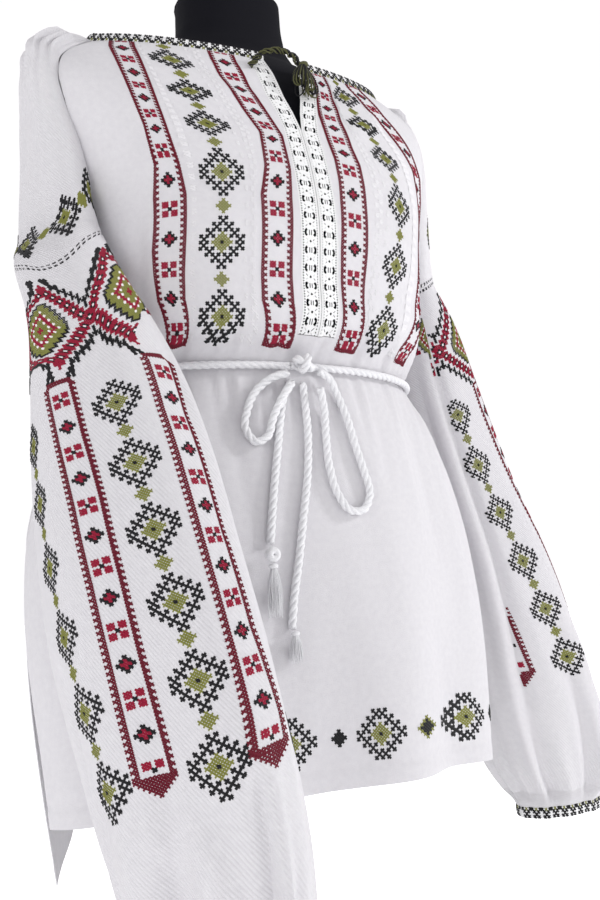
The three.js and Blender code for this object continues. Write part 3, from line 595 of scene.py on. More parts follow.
# %% Routes of the cords, on the front of the blouse
CORD_RADIUS = 3.3
CORD_CLEAR = 0.4
WAIST_CORD_CLEAR = 1.1
TWIST_PITCH = 21.0
LINE_SPACING = 1.7
GOLDEN_ANGLE = 2.39996
KNOT_PLACE = (-10.0, -127.5, WAIST_HEIGHT)
LOOP_RIGHT = [(-24, 716, 6), (-35, 713, 5), (-49, 703, 1), (-60, 686, 0), (-64, 670, 0),
              (-57, 659, 0), (-48, 663, 1), (-42, 678, 5), (-34, 694, 9), (-25, 706, 11)]
LOOP_LEFT = [(4, 719, 7), (14, 714, 5), (22, 702, 1), (27, 680, 0), (30, 656, 0), (34, 636, 0),
             (36, 616, 0), (28, 604, 0), (16, 604, 0), (7, 617, 0), (3, 638, 0), (4, 664, 0),
             (6, 686, 2), (2, 704, 7)]
TAIL_RIGHT = [(-18, 711, 0), (-27, 698, 0), (-34, 676, 0), (-40, 652, 0), (-46, 628, 0),
              (-51, 604, 0), (-55, 580, 0)]
TAIL_LEFT = [(-8, 709, 0), (-9, 694, 0), (-12, 662, 0), (-18, 629, 0), (-26, 596, 0),
             (-33, 566, 0), (-40, 538, 0), (-44, 516, 0)]


def front_face(x, z):
    """y of the front's outer face at a place."""
    height = z
    for _ in range(3):
        row = front_panel.bare(np.full(len(PLACES), float(height)), PLACES)
        place = np.interp(x, row[:, 0], PLACES)
        height += z - np.interp(x, row[:, 0], row[:, 2])
    return float(front_panel.point(np.array([float(height)]), np.array([place]))[0, 1])


def on_front(x, z, lift):
    near = min(front_face(x, z + step) for step in (-CORD_RADIUS, 0, CORD_RADIUS))
    return (x, near - CORD_CLEAR - CORD_RADIUS - lift, z)


def waist_point(degrees):
    """A point of the waist cord's oval. 0 is the middle of the front."""
    angle = math.radians(degrees)
    levels = FRONT_LEVELS if math.cos(angle) > 0 else BACK_LEVELS
    row = {name: levels[name][WAIST_ROW] for name in levels}
    off = WAIST_CORD_CLEAR + CORD_RADIUS
    x, y = oval(angle, row["half"] + off, row["deep"] + off, row["square"])
    return (x, -y, WAIST_HEIGHT)


def make_cord(name, points):
    """A free cord of the bow, twisted from strands. Its length is printed."""
    line = smooth_line(points, LINE_SPACING)
    vertices, faces = strands(line, CORD_RADIUS, TWIST_PITCH, 3)
    cord = mesh_object(name + "_twisted", vertices, faces, cord_yarn)
    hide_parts(name)
    print(name, round(length_of(line)), "mm long")


waist_route = [waist_point(degrees) for degrees in np.linspace(-5, 354.7, 47)]

# %% Waist cord, bow and its ends
make_cord("waist_cord", waist_route)
make_cord("bow_loop_right", [on_front(*row) for row in LOOP_RIGHT])
make_cord("bow_loop_left", [on_front(*row) for row in LOOP_LEFT])


def make_knot():
    """The knot of the bow: one turn over the front, and one across it."""
    angles = np.linspace(0, 2 * np.pi, 40)
    across, ahead = np.sin(angles), np.cos(angles)
    upright = np.stack([2.2 * across, 4.6 * ahead, 5.4 * across], -1) + KNOT_PLACE
    slanted = np.stack([6.8 * across, 1.5 + 3.4 * ahead, -3.6 * across], -1) + KNOT_PLACE
    turns = enumerate((upright, slanted))
    parts = [strands(line, CORD_RADIUS, TWIST_PITCH, 3, start=turn) for turn, line in turns]
    knot = mesh_object("bow_knot_tied", *joined(parts), cord_yarn)
    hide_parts("bow_knot")


make_knot()


def fringe(top, length, spread, count, radius, seed_turn):
    """Threads that hang from one point, each a thin tube with its own bend."""
    parts = []
    for k in range(count):
        turn = seed_turn + GOLDEN_ANGLE * k
        out = spread * math.sqrt((k + 0.5) / count)
        drop = length * (0.86 + 0.14 * math.sin(3.1 * k + seed_turn))
        downs = np.linspace(0, 1, 7)
        swell = np.sin(np.pi * np.minimum(downs * 0.62 + 0.02, 1)) * out
        wave = 0.5 * np.sin(5 * downs + k)
        x = top[0] + swell * math.cos(turn) + wave * downs
        y = top[1] + swell * math.sin(turn) + 0.4 * wave * downs
        line = np.stack([x, y, top[2] - drop * downs], -1)
        parts.append(tube_mesh(line, radius * (1 - 0.35 * downs), 4))
    return parts


def torus_part(middle, ring, thick, steps=18, sides=8, flat=1.0, upright=False):
    """A closed ring of cord."""
    angles = np.linspace(0, 2 * np.pi, steps, endpoint=False)
    around = np.linspace(0, 2 * np.pi, sides, endpoint=False)
    radius = ring + thick * np.cos(around)[None]
    level = np.broadcast_to(thick * flat * np.sin(around)[None], (steps, sides))
    one, other = radius * np.cos(angles)[:, None], radius * np.sin(angles)[:, None]
    order = (one, level, other) if upright else (one, other, level)
    points = np.stack(order, -1).reshape(-1, 3) + np.array(middle)
    faces = []
    for i in range(steps):
        for k in range(sides):
            j, m = (i + 1) % steps, (k + 1) % sides
            face = (i * sides + k, j * sides + k, j * sides + m, i * sides + m)
            faces.append(tuple(reversed(face)) if upright else face)
    return points, faces


def make_bow_ends():
    """A knob with a tassel on the wearer's right end, and an unravelled end on the left one."""
    low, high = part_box("bow_tassel_right")
    x, y = (low.x + high.x) / 2 / MM, (low.y + high.y) / 2 / MM
    top, foot = high.z / MM, low.z / MM
    parts = [torus_part((x, y, top - 5.5), 3.1, 3.0, flat=1.4, upright=True)]
    parts.append(torus_part((x, y, top - 14), 2.0, 1.8))
    parts += fringe((x, y, top - 12), top - 12 - foot, 6.0, 54, 0.42, 0.3)
    right = mesh_object("bow_tassel_right_threads", *joined(parts), cord_yarn)
    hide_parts("bow_tassel_right")
    low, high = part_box("bow_tassel_left")
    x, y = (low.x + high.x) / 2 / MM, (low.y + high.y) / 2 / MM
    parts = [torus_part((x, y, high.z / MM - 2.5), 1.9, 1.6)]
    parts += fringe((x, y, high.z / MM - 1), (high.z - low.z) / MM - 1, 5.2, 46, 0.42, 1.1)
    left = mesh_object("bow_tassel_left_threads", *joined(parts), cord_yarn)
    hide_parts("bow_tassel_left")
    return right, left


tassel_right, tassel_left = make_bow_ends()
make_cord("bow_tail_right", [on_front(*row) for row in TAIL_RIGHT])
make_cord("bow_tail_left", [on_front(*row) for row in TAIL_LEFT])

# %% [markdown]
# ## Sleeves as rings
# Each sleeve is a row of rings from the neck to the cuff. The upper rings are open towards the body, and
# their ends are drawn onto the armhole edges of the front and the back, so that sleeve, front and back meet
# in one seam. The gathers are a wave round the ring that grows where the cloth is drawn together.

# %% Rings of the sleeves
RING_NAMES = "x y z across along turn open ruffle"
RIGHT_RINGS = columns(RING_NAMES, [
    (145, 1, 1031, 6, 24, 0, 90, 0),
    (150, 1, 1035, 22, 31, 0, 90, 1.2),
    (159, 1, 1029, 32, 39, 0, 90, 1.4),
    (165, 0, 1004, 34, 46, 0, 90, 1.2),
    (171, -2, 966, 30, 52, 2, 88, 0.8),
    (177, -8, 925, 25, 56, 4, 74, 0.4),
    (182, -17, 883, 22, 56, 8, 50, 0.2),
    (185, -35, 842, 21, 50, 16, 0, 0),
    (188, -68, 804, 31, 46, 26, 0, 0.8),
    (181, -100, 756, 36, 51, 30, 0, 1.4),
    (177, -126, 700, 40, 62, 32, 0, 2.0),
    (174, -150, 640, 43, 71, 32, 0, 2.6),
    (171, -172, 576, 46, 78, 30, 0, 3.2),
    (165, -192, 508, 48, 83, 28, 0, 3.8),
    (156, -209, 440, 49, 80, 26, 0, 4.2),
    (148, -220, 380, 46, 71, 26, 0, 4.4),
    (142, -226, 336, 39, 57, 26, 0, 3.6),
    (140, -228, 312, 31, 45, 26, 0, 1.6),
    (140, -229, 301, 27, 40, 26, 0, 0),
])
LEFT_RINGS = columns(RING_NAMES, [
    (145, 1, 1031, 6, 24, 0, 90, 0),
    (149, 1, 1032, 20, 31, 0, 90, 1.2),
    (158, 1, 1018, 30, 38, 0, 90, 1.4),
    (166, 1, 990, 33, 45, 0, 90, 1.2),
    (172, 2, 956, 31, 49, 0, 88, 0.8),
    (175, 3, 920, 28, 48, 0, 70, 0.6),
    (179, 5, 881, 26, 45, 0, 46, 0.6),
    (188, 6, 842, 25, 43, 0, 0, 0.8),
    (205, 8, 800, 36, 45, 0, 0, 1.0),
    (219, 10, 748, 43, 48, 0, 0, 1.4),
    (236, 12, 694, 47, 50, 0, 0, 2.0),
    (257, 14, 634, 51, 52, 0, 0, 2.6),
    (282, 14, 572, 60, 52, 0, 0, 3.2),
    (302, 14, 506, 70, 52, 0, 0, 3.8),
    (318, 12, 440, 79, 50, 0, 0, 4.2),
    (333, 10, 384, 80, 46, 0, 0, 4.2),
    (342, 8, 344, 72, 40, 0, 0, 3.4),
    (346, 6, 320, 60, 33, 0, 0, 1.6),
    (347, 6, 309, 54, 29, 0, 0, 0),
])
CAP_RINGS = 8
UNDERARM_LEVEL = 12
SEAM_WIDTH = 0.8
AXIS_STEP = 4
# How far the gathers reach: full near the cuff, fading above it, and fading below the neck.
CUFF_FULL = 22
CUFF_REACH = 90
NECK_REACH = 26


class Sleeve:
    """A sleeve as a smooth surface of ring number and part of the way round it. Part 0.25 is the front,
    0.5 the outer side and 0.75 the back."""

    def __init__(self, rings, side, crease_rows, cuff_waves):
        self.rings, self.side = rings, side
        self.crease_rows, self.cuff_waves = crease_rows, cuff_waves
        self.middles = np.stack([side * rings["x"], rings["y"], rings["z"]], -1)
        self.knots = walk(self.middles)
        self.count = len(self.knots)
        top = len(FRONT_LEVELS["zc"]) - 1
        levels = range(top, top - CAP_RINGS, -1)
        behind = [front_panel if level <= UNDERARM_LEVEL else back_panel for level in levels]
        self.front_edge = np.array([self.edge(front_panel, level) for level in levels])
        self.back_edge = np.array([self.edge(body, level) for body, level in zip(behind, levels)])

    def edge(self, body, level):
        return body.bare(np.array([body.levels["zc"][level]]), np.array([float(self.side)]))[0]

    def length(self, ring):
        return np.interp(ring, np.arange(self.count), self.knots)

    def row(self, ring):
        made = {name: through(self.knots, self.rings[name], self.length(ring)) for name in self.rings}
        made["open"] = np.clip(made["open"], 0, 90)
        return made

    def ring_point(self, row, ring, part):
        seam = np.maximum(np.radians(row["open"]), SEAM_WIDTH / 2 / row["along"])
        turn = seam + (2 * np.pi - 2 * seam) * part
        phase = 0.3 * ring
        wave = np.sin(5 * turn + phase) + 0.5 * np.sin(3 * turn + 2 * phase)
        gather = row["ruffle"] * wave * np.sqrt(np.clip(np.sin(np.pi * part), 0, 1))
        inward = -(row["across"] + gather) * np.cos(turn)
        forward = -(row["along"] + gather) * np.sin(turn)
        swing = np.radians(row["turn"])
        x = row["x"] + inward * np.cos(swing) + forward * np.sin(swing)
        y = row["y"] + forward * np.cos(swing) - inward * np.sin(swing)
        return np.stack([self.side * x, y, row["z"] + 0 * part], -1)

    def bare(self, ring, part):
        row = self.row(ring)
        made = self.ring_point(row, ring, part)
        along = np.minimum(self.length(ring), self.knots[CAP_RINGS - 1])
        fade = np.clip(CAP_RINGS - ring, 0, 1)[..., None]
        ends = ((self.front_edge, 0 * part, 1 - part), (self.back_edge, 0 * part + 1, part))
        for edge, end, near in ends:
            target = through_points(self.knots[:CAP_RINGS], edge, along)
            made = made + (target - self.ring_point(row, ring, end)) * (near**4)[..., None] * fade
        return made

    def middle_at(self, along):
        return through_points(self.knots, self.middles, np.clip(along, 0, self.knots[-1]))

    def down(self, ring, part):
        """Length along the sleeve of a point, from the neck end."""
        along = self.length(ring)
        axis = self.middle_at(along + AXIS_STEP) - self.middle_at(along - AXIS_STEP)
        axis /= np.linalg.norm(axis, axis=-1, keepdims=True)
        return along + ((self.bare(ring, part) - self.middle_at(along)) * axis).sum(-1)

    def ring_at(self, down, part):
        """The ring number at a length down the sleeve and a part round it."""
        low, high = np.zeros_like(down), np.full_like(down, self.count - 1.0)
        for _ in range(14):
            middle = (low + high) / 2
            under = self.down(middle, part) < down
            low, high = np.where(under, middle, low), np.where(under, high, middle)
        return (low + high) / 2

    def relief(self, ring, part):
        """Creases, and the gathers above the cuff and at the neck."""
        down = self.length(ring)
        gathers = 0
        for waves, phase, high in self.cuff_waves:
            gathers = gathers + high * np.sin(2 * np.pi * waves * part + phase)
        from_cuff = self.knots[-1] - down
        beyond = np.maximum(from_cuff - CUFF_FULL, 0)
        near_cuff = np.exp(-((beyond / CUFF_REACH) ** 2)) * np.clip(from_cuff / 16, 0.12, 1)
        near_neck = np.exp(-((down / NECK_REACH) ** 2)) * np.clip(down / 8, 0.1, 1) * 0.8
        closed = np.sqrt(np.clip(np.sin(np.pi * part), 0, 1))
        hand = creases(self.crease_rows, part * SLEEVE_GIRTH, down)
        return (hand + gathers * (near_cuff + near_neck)) * closed

    def point(self, ring, part, lift=0.0):
        ring = np.asarray(ring, float)
        inside = np.clip(ring, 0.02, self.count - 1.02)
        normal = outward(self.bare, inside, np.clip(part, 0.004, 0.996), 0.02, 0.003, turn=self.side)
        return self.bare(ring, part) + normal * (self.relief(ring, part) + lift)[..., None]


# Crease rows: round the sleeve in millimetres of a girth of 400, and down its length, as two ends, with the
# width and the height.
SLEEVE_GIRTH = 400.0
RIGHT_CREASES = [
    (60, 250, 96, 420, 10, -4.0), (78, 330, 90, 560, 12, 3.4), (42, 380, 60, 640, 13, -3.6),
    (100, 520, 96, 720, 12, 4.0), (128, 650, 132, 790, 8, -11.0), (160, 690, 150, 795, 9, 9.0),
    (190, 700, 196, 795, 7, -11.0), (226, 690, 220, 795, 9, 9.0), (256, 600, 262, 790, 10, -9.0),
    (292, 420, 300, 740, 14, 3.0), (330, 300, 340, 700, 13, -3.4), (366, 260, 360, 600, 11, 2.6),
    (70, 120, 120, 190, 12, -2.2), (130, 60, 150, 170, 12, 1.8), (240, 60, 236, 180, 13, -1.6),
    (110, 20, 118, 80, 8, -2.2), (150, 16, 156, 90, 8, 2.0), (196, 14, 198, 90, 9, -2.0),
    (240, 16, 238, 86, 8, 2.0), (280, 18, 274, 80, 8, -2.2), (300, 180, 330, 260, 12, -2.4),
]
LEFT_CREASES = [
    (66, 285, 66, 650, 6, -8.5), (51, 270, 52, 640, 9, 7.5), (36, 300, 40, 640, 7, -6.0),
    (84, 500, 96, 690, 11, 4.2), (112, 560, 116, 720, 8, -5.0), (134, 580, 136, 720, 8, 4.4),
    (158, 560, 162, 720, 9, -5.0), (190, 480, 196, 716, 12, 4.8), (226, 420, 232, 716, 13, -4.8),
    (270, 300, 280, 700, 14, 3.2), (316, 260, 326, 640, 13, -3.4), (356, 240, 350, 560, 11, 2.6),
    (110, 18, 116, 80, 8, -2.2), (150, 14, 156, 90, 8, 2.2), (196, 14, 200, 90, 8, -2.2),
    (240, 16, 240, 80, 8, 2.0), (80, 100, 110, 190, 12, -2.4), (300, 120, 320, 240, 12, -2.4),
]
CUFF_WAVES = [(17, 0.3, 2.6), (23, 1.9, 1.3), (10, 0.8, 5.2)]
sleeves = {
    "right": Sleeve(RIGHT_RINGS, -1, RIGHT_CREASES, CUFF_WAVES),
    "left": Sleeve(LEFT_RINGS, 1, LEFT_CREASES, CUFF_WAVES),
}
print("sleeve lengths", {name: round(float(sleeve.knots[-1])) for name, sleeve in sleeves.items()})

# %% [markdown]
# ## Laying cloth
# A grid is added with as many columns and rows as the cloth needs, and each of its points is put on the
# surface. Faces that fall in the slit or under the lace are selected and deleted. Solidify then gives the
# cloth its thickness inwards, so that the outer face stays where the stitches lie.

# %% Helper that lays a sheet
CLOTH_THICKNESS = 0.8


def lay_cloth(name, points, flat, material, wall=CLOTH_THICKNESS, keep=None, chart=None):
    """A thin sheet through rows of points in millimetres. flat is across and along in millimetres."""
    rows, cols = points.shape[:2]
    bpy.ops.object.select_all(action="DESELECT")
    bpy.ops.mesh.primitive_grid_add(x_subdivisions=cols - 1, y_subdivisions=rows - 1, size=1)
    cloth = bpy.context.object
    cloth.name = name
    mesh = cloth.data
    mesh.vertices.foreach_set("co", (points * MM).astype(np.float32).ravel())
    corners = np.empty(len(mesh.loops), np.int32)
    mesh.loops.foreach_get("vertex_index", corners)
    mesh.uv_layers[0].name = "weave"
    mesh.uv_layers[0].data.foreach_set("uv", (flat * MM).reshape(-1, 2)[corners].astype(np.float32).ravel())
    if chart is not None:
        layer = mesh.uv_layers.new(name="chart")
        layer.data.foreach_set("uv", chart.reshape(-1, 2)[corners].astype(np.float32).ravel())
    mesh.materials.append(material)
    bpy.ops.object.shade_smooth()
    if keep is not None:
        bpy.ops.object.mode_set(mode="EDIT")
        bpy.ops.mesh.select_mode(type="FACE")
        bpy.ops.mesh.select_all(action="DESELECT")
        bpy.ops.object.mode_set(mode="OBJECT")
        mesh.polygons.foreach_set("select", ~keep.ravel())
        bpy.ops.object.mode_set(mode="EDIT")
        bpy.ops.mesh.delete(type="FACE")
        bpy.ops.object.mode_set(mode="OBJECT")
    solidify = cloth.modifiers.new("thickness", "SOLIDIFY")
    solidify.thickness = wall * MM
    solidify.offset = -1
    bpy.ops.object.modifier_apply(modifier="thickness")
    bpy.ops.object.shade_smooth_by_angle(angle=math.radians(50))
    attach(cloth, "root")
    print(name, len(cloth.data.polygons), "faces")
    return cloth


def flat_sizes(points):
    """Across and along of every point, measured over the cloth."""
    across = np.zeros(points.shape[:2])
    across[:, 1:] = np.cumsum(np.linalg.norm(np.diff(points, axis=1), axis=2), axis=1)
    across -= across[:, [points.shape[1] // 2]]
    along = np.zeros(points.shape[:2])
    along[1:] = np.cumsum(np.linalg.norm(np.diff(points, axis=0), axis=2), axis=0)
    return np.stack([across, along.mean(axis=1, keepdims=True) + 0 * along], -1)


# %% [markdown]
# ## The front
# The front is one piece from neck to hem. Its centre is cut out above the waist for the two lace strips, and
# they part at the neck slit. The grid has lines exactly on the edges of the lace, so the cut is clean.

# %% Front, with its opening for the lace
LACE_FOOT = 746
LACE_WIDTH = 17.0
SLIT = columns("height half", [(396, 0.2), (926, 0.2), (944, 3.5), (960, 8.0), (985, 12.5), (1000, 17.0)])
SIDE_COLUMNS = 58
LACE_COLUMNS = 5
FRONT_ROWS = 176
FOOT_ROWS = 102


def slit_half(height):
    return np.interp(height, SLIT["height"], SLIT["half"])


def front_columns(heights):
    """Distance from the centre line of every column, a row for each height."""
    side_edge = front_panel.distance(heights, np.ones(len(heights)))[:, None]
    lace_edge = slit_half(heights)[:, None] + LACE_WIDTH
    to_lace = np.linspace(0, 1, LACE_COLUMNS + 1)[None] * lace_edge
    to_side = lace_edge + np.linspace(0, 1, SIDE_COLUMNS + 1)[None, 1:] * (side_edge - lace_edge)
    half = np.concatenate([to_lace, to_side], axis=1)
    return np.concatenate([-half[:, :0:-1], half], axis=1)


def make_front():
    foot = np.linspace(FRONT_FOOT, LACE_FOOT, FOOT_ROWS)
    heights = np.concatenate([foot, np.linspace(LACE_FOOT, FRONT_TOP, FRONT_ROWS - FOOT_ROWS + 1)[1:]])
    distances = front_columns(heights)
    tall = np.broadcast_to(heights[:, None], distances.shape)
    points = front_panel.point(tall, front_panel.place(tall, distances))
    is_lace = np.zeros((len(heights) - 1, distances.shape[1] - 1), bool)
    middle = distances.shape[1] // 2
    above = heights[:-1] >= LACE_FOOT - 0.1
    is_lace[above, middle - LACE_COLUMNS:middle + LACE_COLUMNS] = True
    front = lay_cloth("front_cloth", points, flat_sizes(points), cotton_plain, keep=~is_lace)
    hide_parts("blouse_front")
    return front


front_cloth = make_front()

# %% Back
BACK_ROWS = 176
BACK_COLUMNS = 120


def make_back():
    """The back is one whole piece. Its side edges join the front's between the hip and the underarm."""
    heights = np.linspace(BACK_FOOT, BACK_TOP, BACK_ROWS)
    places = np.linspace(1, -1, BACK_COLUMNS)
    tall, wide = np.meshgrid(heights, places, indexing="ij")
    points = back_panel.point(tall, wide)
    level_front = np.interp(heights, BACK_LEVELS["zc"], FRONT_LEVELS["zc"])
    joined_part = soft_step(heights, 560, 600) * (1 - soft_step(heights, 846, 870))
    for column, side in ((0, 1.0), (-1, -1.0)):
        seam = front_panel.point(level_front, np.full(len(heights), side))
        shift = (seam - points[:, column]) * joined_part[:, None]
        near = np.exp(-((np.abs(places - side) / 0.12) ** 2))
        points += shift[:, None] * near[None, :, None]
    back = lay_cloth("back_cloth", points, flat_sizes(points), cotton_plain)
    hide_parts("blouse_back")
    return back


back_cloth = make_back()

# %% [markdown]
# ## Charts and the cloth under them
# Counted embroidery is worked from a chart: a square of the chart is one stitch. The charts here are short
# rules, because the traditional motifs are made of steps: a branch diamond, a flower, a ladder between two
# rails. Each place on the chart is then found on the cloth, by where a few of its columns and rows lie.

# %% Where the sleeve's chart lies
# Under the band. Columns: length down the sleeve, then the part round it of the five columns' middles, and
# how much of the girth one stitch takes, in the ladder that lies towards the front and elsewhere.
RIGHT_COLUMNS = columns("down m42 m21 c0 p21 p42 fine21 fine", [
    (355, 0.085, 0.270, 0.411, 0.523, 0.672, 0.0110, 0.0072),
    (392, 0.085, 0.272, 0.412, 0.519, 0.668, 0.0118, 0.0066),
    (440, 0.100, 0.295, 0.411, 0.508, 0.646, 0.0090, 0.0060),
    (488, 0.105, 0.297, 0.403, 0.493, 0.618, 0.0084, 0.0057),
    (540, 0.110, 0.297, 0.392, 0.481, 0.588, 0.0072, 0.0054),
    (590, 0.115, 0.299, 0.382, 0.473, 0.562, 0.0062, 0.0052),
    (640, 0.115, 0.288, 0.375, 0.464, 0.540, 0.0080, 0.0055),
    (690, 0.115, 0.292, 0.369, 0.457, 0.530, 0.0080, 0.0058),
])
# Columns: middle, its name, how many stitches it is wide on each side, and the name of its stitch size.
MIDDLES = ((-42, "m42", 8, "fine"), (-21, "m21", 5.5, "fine21"), (0, "c0", 8, "fine"),
           (21, "p21", 5.5, "fine"), (42, "p42", 8, "fine"))
RIGHT_ROWS = columns("row m42 m21 c0 p21 p42", [
    (22, 386, 387, 400, 388, 386), (40, 425, 428, 436, 428, 425), (160, 668, 671, 677, 669, 675),
])
# On the band. Columns: chart row, then the value at the chart columns -20, -10, 0, 10 and 20.
BAND_DOWN = columns("row m20 m10 c0 p10 p20", [
    (-63, 183, 200, 213, 218, 205), (-54, 209, 227, 240, 246, 233), (-45, 236, 262, 274, 275, 255),
    (-31, 247, 272, 292, 288, 270), (-20, 291, 306, 316, 315, 307), (-10, 306, 329, 334, 333, 322),
    (0, 333, 341, 354, 351, 342), (10, 357, 367, 372, 367, 362), (20, 378, 385, 396, 383, 377),
    (30, 404, 408, 418, 408, 403),
])
BAND_PART = columns("row m20 m10 c0 p10 p20", [
    (-63, 0.170, 0.310, 0.380, 0.460, 0.530), (-54, 0.195, 0.335, 0.416, 0.495, 0.560),
    (-45, 0.190, 0.325, 0.405, 0.485, 0.550), (-31, 0.165, 0.295, 0.395, 0.475, 0.540),
    (-20, 0.262, 0.335, 0.398, 0.455, 0.511), (-10, 0.232, 0.358, 0.407, 0.460, 0.530),
    (0, 0.250, 0.346, 0.411, 0.478, 0.543), (10, 0.283, 0.374, 0.411, 0.460, 0.538),
    (20, 0.335, 0.380, 0.412, 0.455, 0.507), (30, 0.300, 0.360, 0.412, 0.460, 0.515),
])
CHART_COLUMNS = np.array([-42.0, -21.0, 0.0, 21.0, 42.0])
BAND_COLUMNS = np.array([-20.0, -10.0, 0.0, 10.0, 20.0])
BEYOND = 40.0


def between_columns(knots, values, column):
    """A smooth curve through values that stand at even knots, with a set of values for every place."""
    step = knots[1] - knots[0]
    at = np.clip((column - knots[0]) / step, 0, len(knots) - 1)
    i = np.minimum(at.astype(int), len(knots) - 2)
    f = at - i
    values = np.stack(values)
    pick = np.indices(column.shape)

    def value(k):
        return values[(np.clip(k, 0, len(knots) - 1), *pick)]
    low, high = value(i), value(i + 1)
    slope_low = (high - value(i - 1)) / np.where(i > 0, 2, 1)
    slope_high = (value(i + 2) - low) / np.where(i < len(knots) - 2, 2, 1)
    inside = low + f * f * (3 - 2 * f) * (high - low)
    inside += f * (1 - f) ** 2 * slope_low + f * f * (f - 1) * slope_high
    under = np.minimum(column - knots[0], 0) / step * (values[1] - values[0])
    over = np.maximum(column - knots[-1], 0) / step * (values[-1] - values[-2])
    return inside + under + over


def along_straights(knots, values, at):
    """Straight lines between knots, with a set of values for every place."""
    i = np.clip(np.searchsorted(knots, at, side="right") - 1, 0, len(knots) - 2)
    f = (at - knots[i]) / (knots[i + 1] - knots[i])
    pick = np.indices(at.shape)
    return values[(i, *pick)] * (1 - f) + values[(i + 1, *pick)] * f


def right_part(column, down):
    """Part round the right sleeve of a chart column, under the band."""
    row = {name: np.interp(down, RIGHT_COLUMNS["down"], RIGHT_COLUMNS[name]) for name in RIGHT_COLUMNS}
    knots, values = [], []
    for middle, name, half, fine in MIDDLES:
        knots += [middle - half, middle + half]
        values += [row[name] - half * row[fine], row[name] + half * row[fine]]
    knots = np.array([knots[0] - BEYOND, *knots, knots[-1] + BEYOND])
    values = np.stack([values[0] - BEYOND * row["fine"], *values, values[-1] + BEYOND * row["fine"]])
    return along_straights(knots, values, column)


def right_sleeve_place(column, row):
    """Length down the right sleeve and part round it of a place on the chart."""
    lengths = [np.interp(row, RIGHT_ROWS["row"], RIGHT_ROWS[name]) for _, name, _, _ in MIDDLES]
    low_down = between_columns(CHART_COLUMNS, lengths, column)
    low_part = right_part(column, low_down)
    top = []
    for table in (BAND_DOWN, BAND_PART):
        values = [through(table["row"], table[name], row) for name in ("m20", "m10", "c0", "p10", "p20")]
        top.append(between_columns(BAND_COLUMNS, values, column))
    top_down, top_part = top
    low = soft_step(row, 21, 27)
    return top_down + (low_down - top_down) * low, top_part + (low_part - top_part) * low


# The left sleeve hangs in a deep fold that hides a part of the chart. Columns: chart row, length down.
LEFT_ROWS = columns("row down", [(-63, 128), (-20, 228), (0, 272), (36, 336), (160, 632)])
LEFT_COLUMN = columns("down part", [(150, 0.165), (251, 0.184), (272, 0.194), (336, 0.196), (387, 0.211),
                                    (441, 0.231), (495, 0.246), (552, 0.267), (611, 0.289), (660, 0.305)])
LEFT_GIRTH = columns("down girth", [(150, 260), (251, 300), (336, 330), (441, 370), (552, 415), (660, 420)])
STITCH = 2.45
FOLD_PART = 0.162
FOLD_FOOT = 15
FOLD_SHIFT = {"column": -20, "part": 0.160, "fine": 0.0036, "down": 254, "pitch": 1.8}


def left_sleeve_flat(column, row):
    """The place on the left sleeve, as if the fold were not there."""
    down = np.interp(row, LEFT_ROWS["row"], LEFT_ROWS["down"]) - 8 * (1 - np.exp(-((column / 19) ** 2)))
    part = np.interp(down, LEFT_COLUMN["down"], LEFT_COLUMN["part"])
    return down, part + column * STITCH / np.interp(down, LEFT_GIRTH["down"], LEFT_GIRTH["girth"])


def left_sleeve_place(column, row):
    """The place on the left sleeve, or a part of -1 for what the fold hides."""
    down, part = left_sleeve_flat(column, row)
    seen_again = (column - FOLD_SHIFT["column"]) * FOLD_SHIFT["fine"] + FOLD_SHIFT["part"]
    beyond = (part < FOLD_PART) & (column < -12)
    shown = beyond & (seen_again < FOLD_PART) & (seen_again > 0.06) & (np.abs(row) < FOLD_FOOT + 8)
    down = np.where(beyond, FOLD_SHIFT["down"] + FOLD_SHIFT["pitch"] * row, down)
    part = np.where(part < FOLD_PART, np.where(shown, seen_again, -1.0), part)
    return down, part


# Numbers of the search for a chart place: the first guess of the row, and how far each error moves the guess.
GUESSES = 24
FIRST_GUESS_DOWN = 300
FIRST_GUESS_PITCH = 2.1
COLUMNS_PER_PART = 75
LENGTH_PER_ROW = 5.5


def chart_row_on(down, part, side):
    """The chart column and row at places on a sleeve, found by trying them on the chart."""
    place = right_sleeve_place if side < 0 else left_sleeve_flat
    column, row = np.zeros_like(down), (down - FIRST_GUESS_DOWN) / FIRST_GUESS_PITCH
    for _ in range(GUESSES):
        here_down, here_part = place(column, row)
        column = np.clip(column - (here_part - part) * COLUMNS_PER_PART, -110, 110)
        row = np.clip(row - (here_down - down) / LENGTH_PER_ROW, -90, 170)
    return np.stack([column, row], -1)


# %% Sleeves
SLEEVE_ROWS = 184
SLEEVE_COLUMNS = 152


def make_sleeve(name):
    sleeve = sleeves[name]
    rings = np.interp(np.linspace(0, sleeve.knots[-1], SLEEVE_ROWS), sleeve.knots, np.arange(sleeve.count))
    parts = np.linspace(0, 1, SLEEVE_COLUMNS)
    if name == "left":
        parts = parts[::-1]
    ring, part = np.meshgrid(rings, parts, indexing="ij")
    points = sleeve.point(ring, part)
    chart = chart_row_on(sleeve.down(ring, part), part, sleeve.side)
    cloth = lay_cloth("sleeve_" + name + "_cloth", points, flat_sizes(points), cotton_sleeve, chart=chart)
    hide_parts("sleeve_" + name)
    return cloth


sleeve_cloths = {name: make_sleeve(name) for name in sleeves}

# %% [markdown]
# ## Motifs as rules
# a and b count stitches sideways and up from the middle of a motif, and s is their sum, so s = 7 draws a
# diamond outline one stitch wide. Short twigs grow from every second stitch of it. The same few rules give
# the chest, the sleeves and the hem their shared look.

# %% Motif rules
NONE, BLACK, RAIL, CRIMSON, OLIVE, WHITE, RELIEF, OUTLINE = range(8)


def away_from(rows, first, repeat):
    """Stitches between a row and the nearest motif middle."""
    return np.abs((rows - first + repeat // 2) % repeat - repeat // 2)


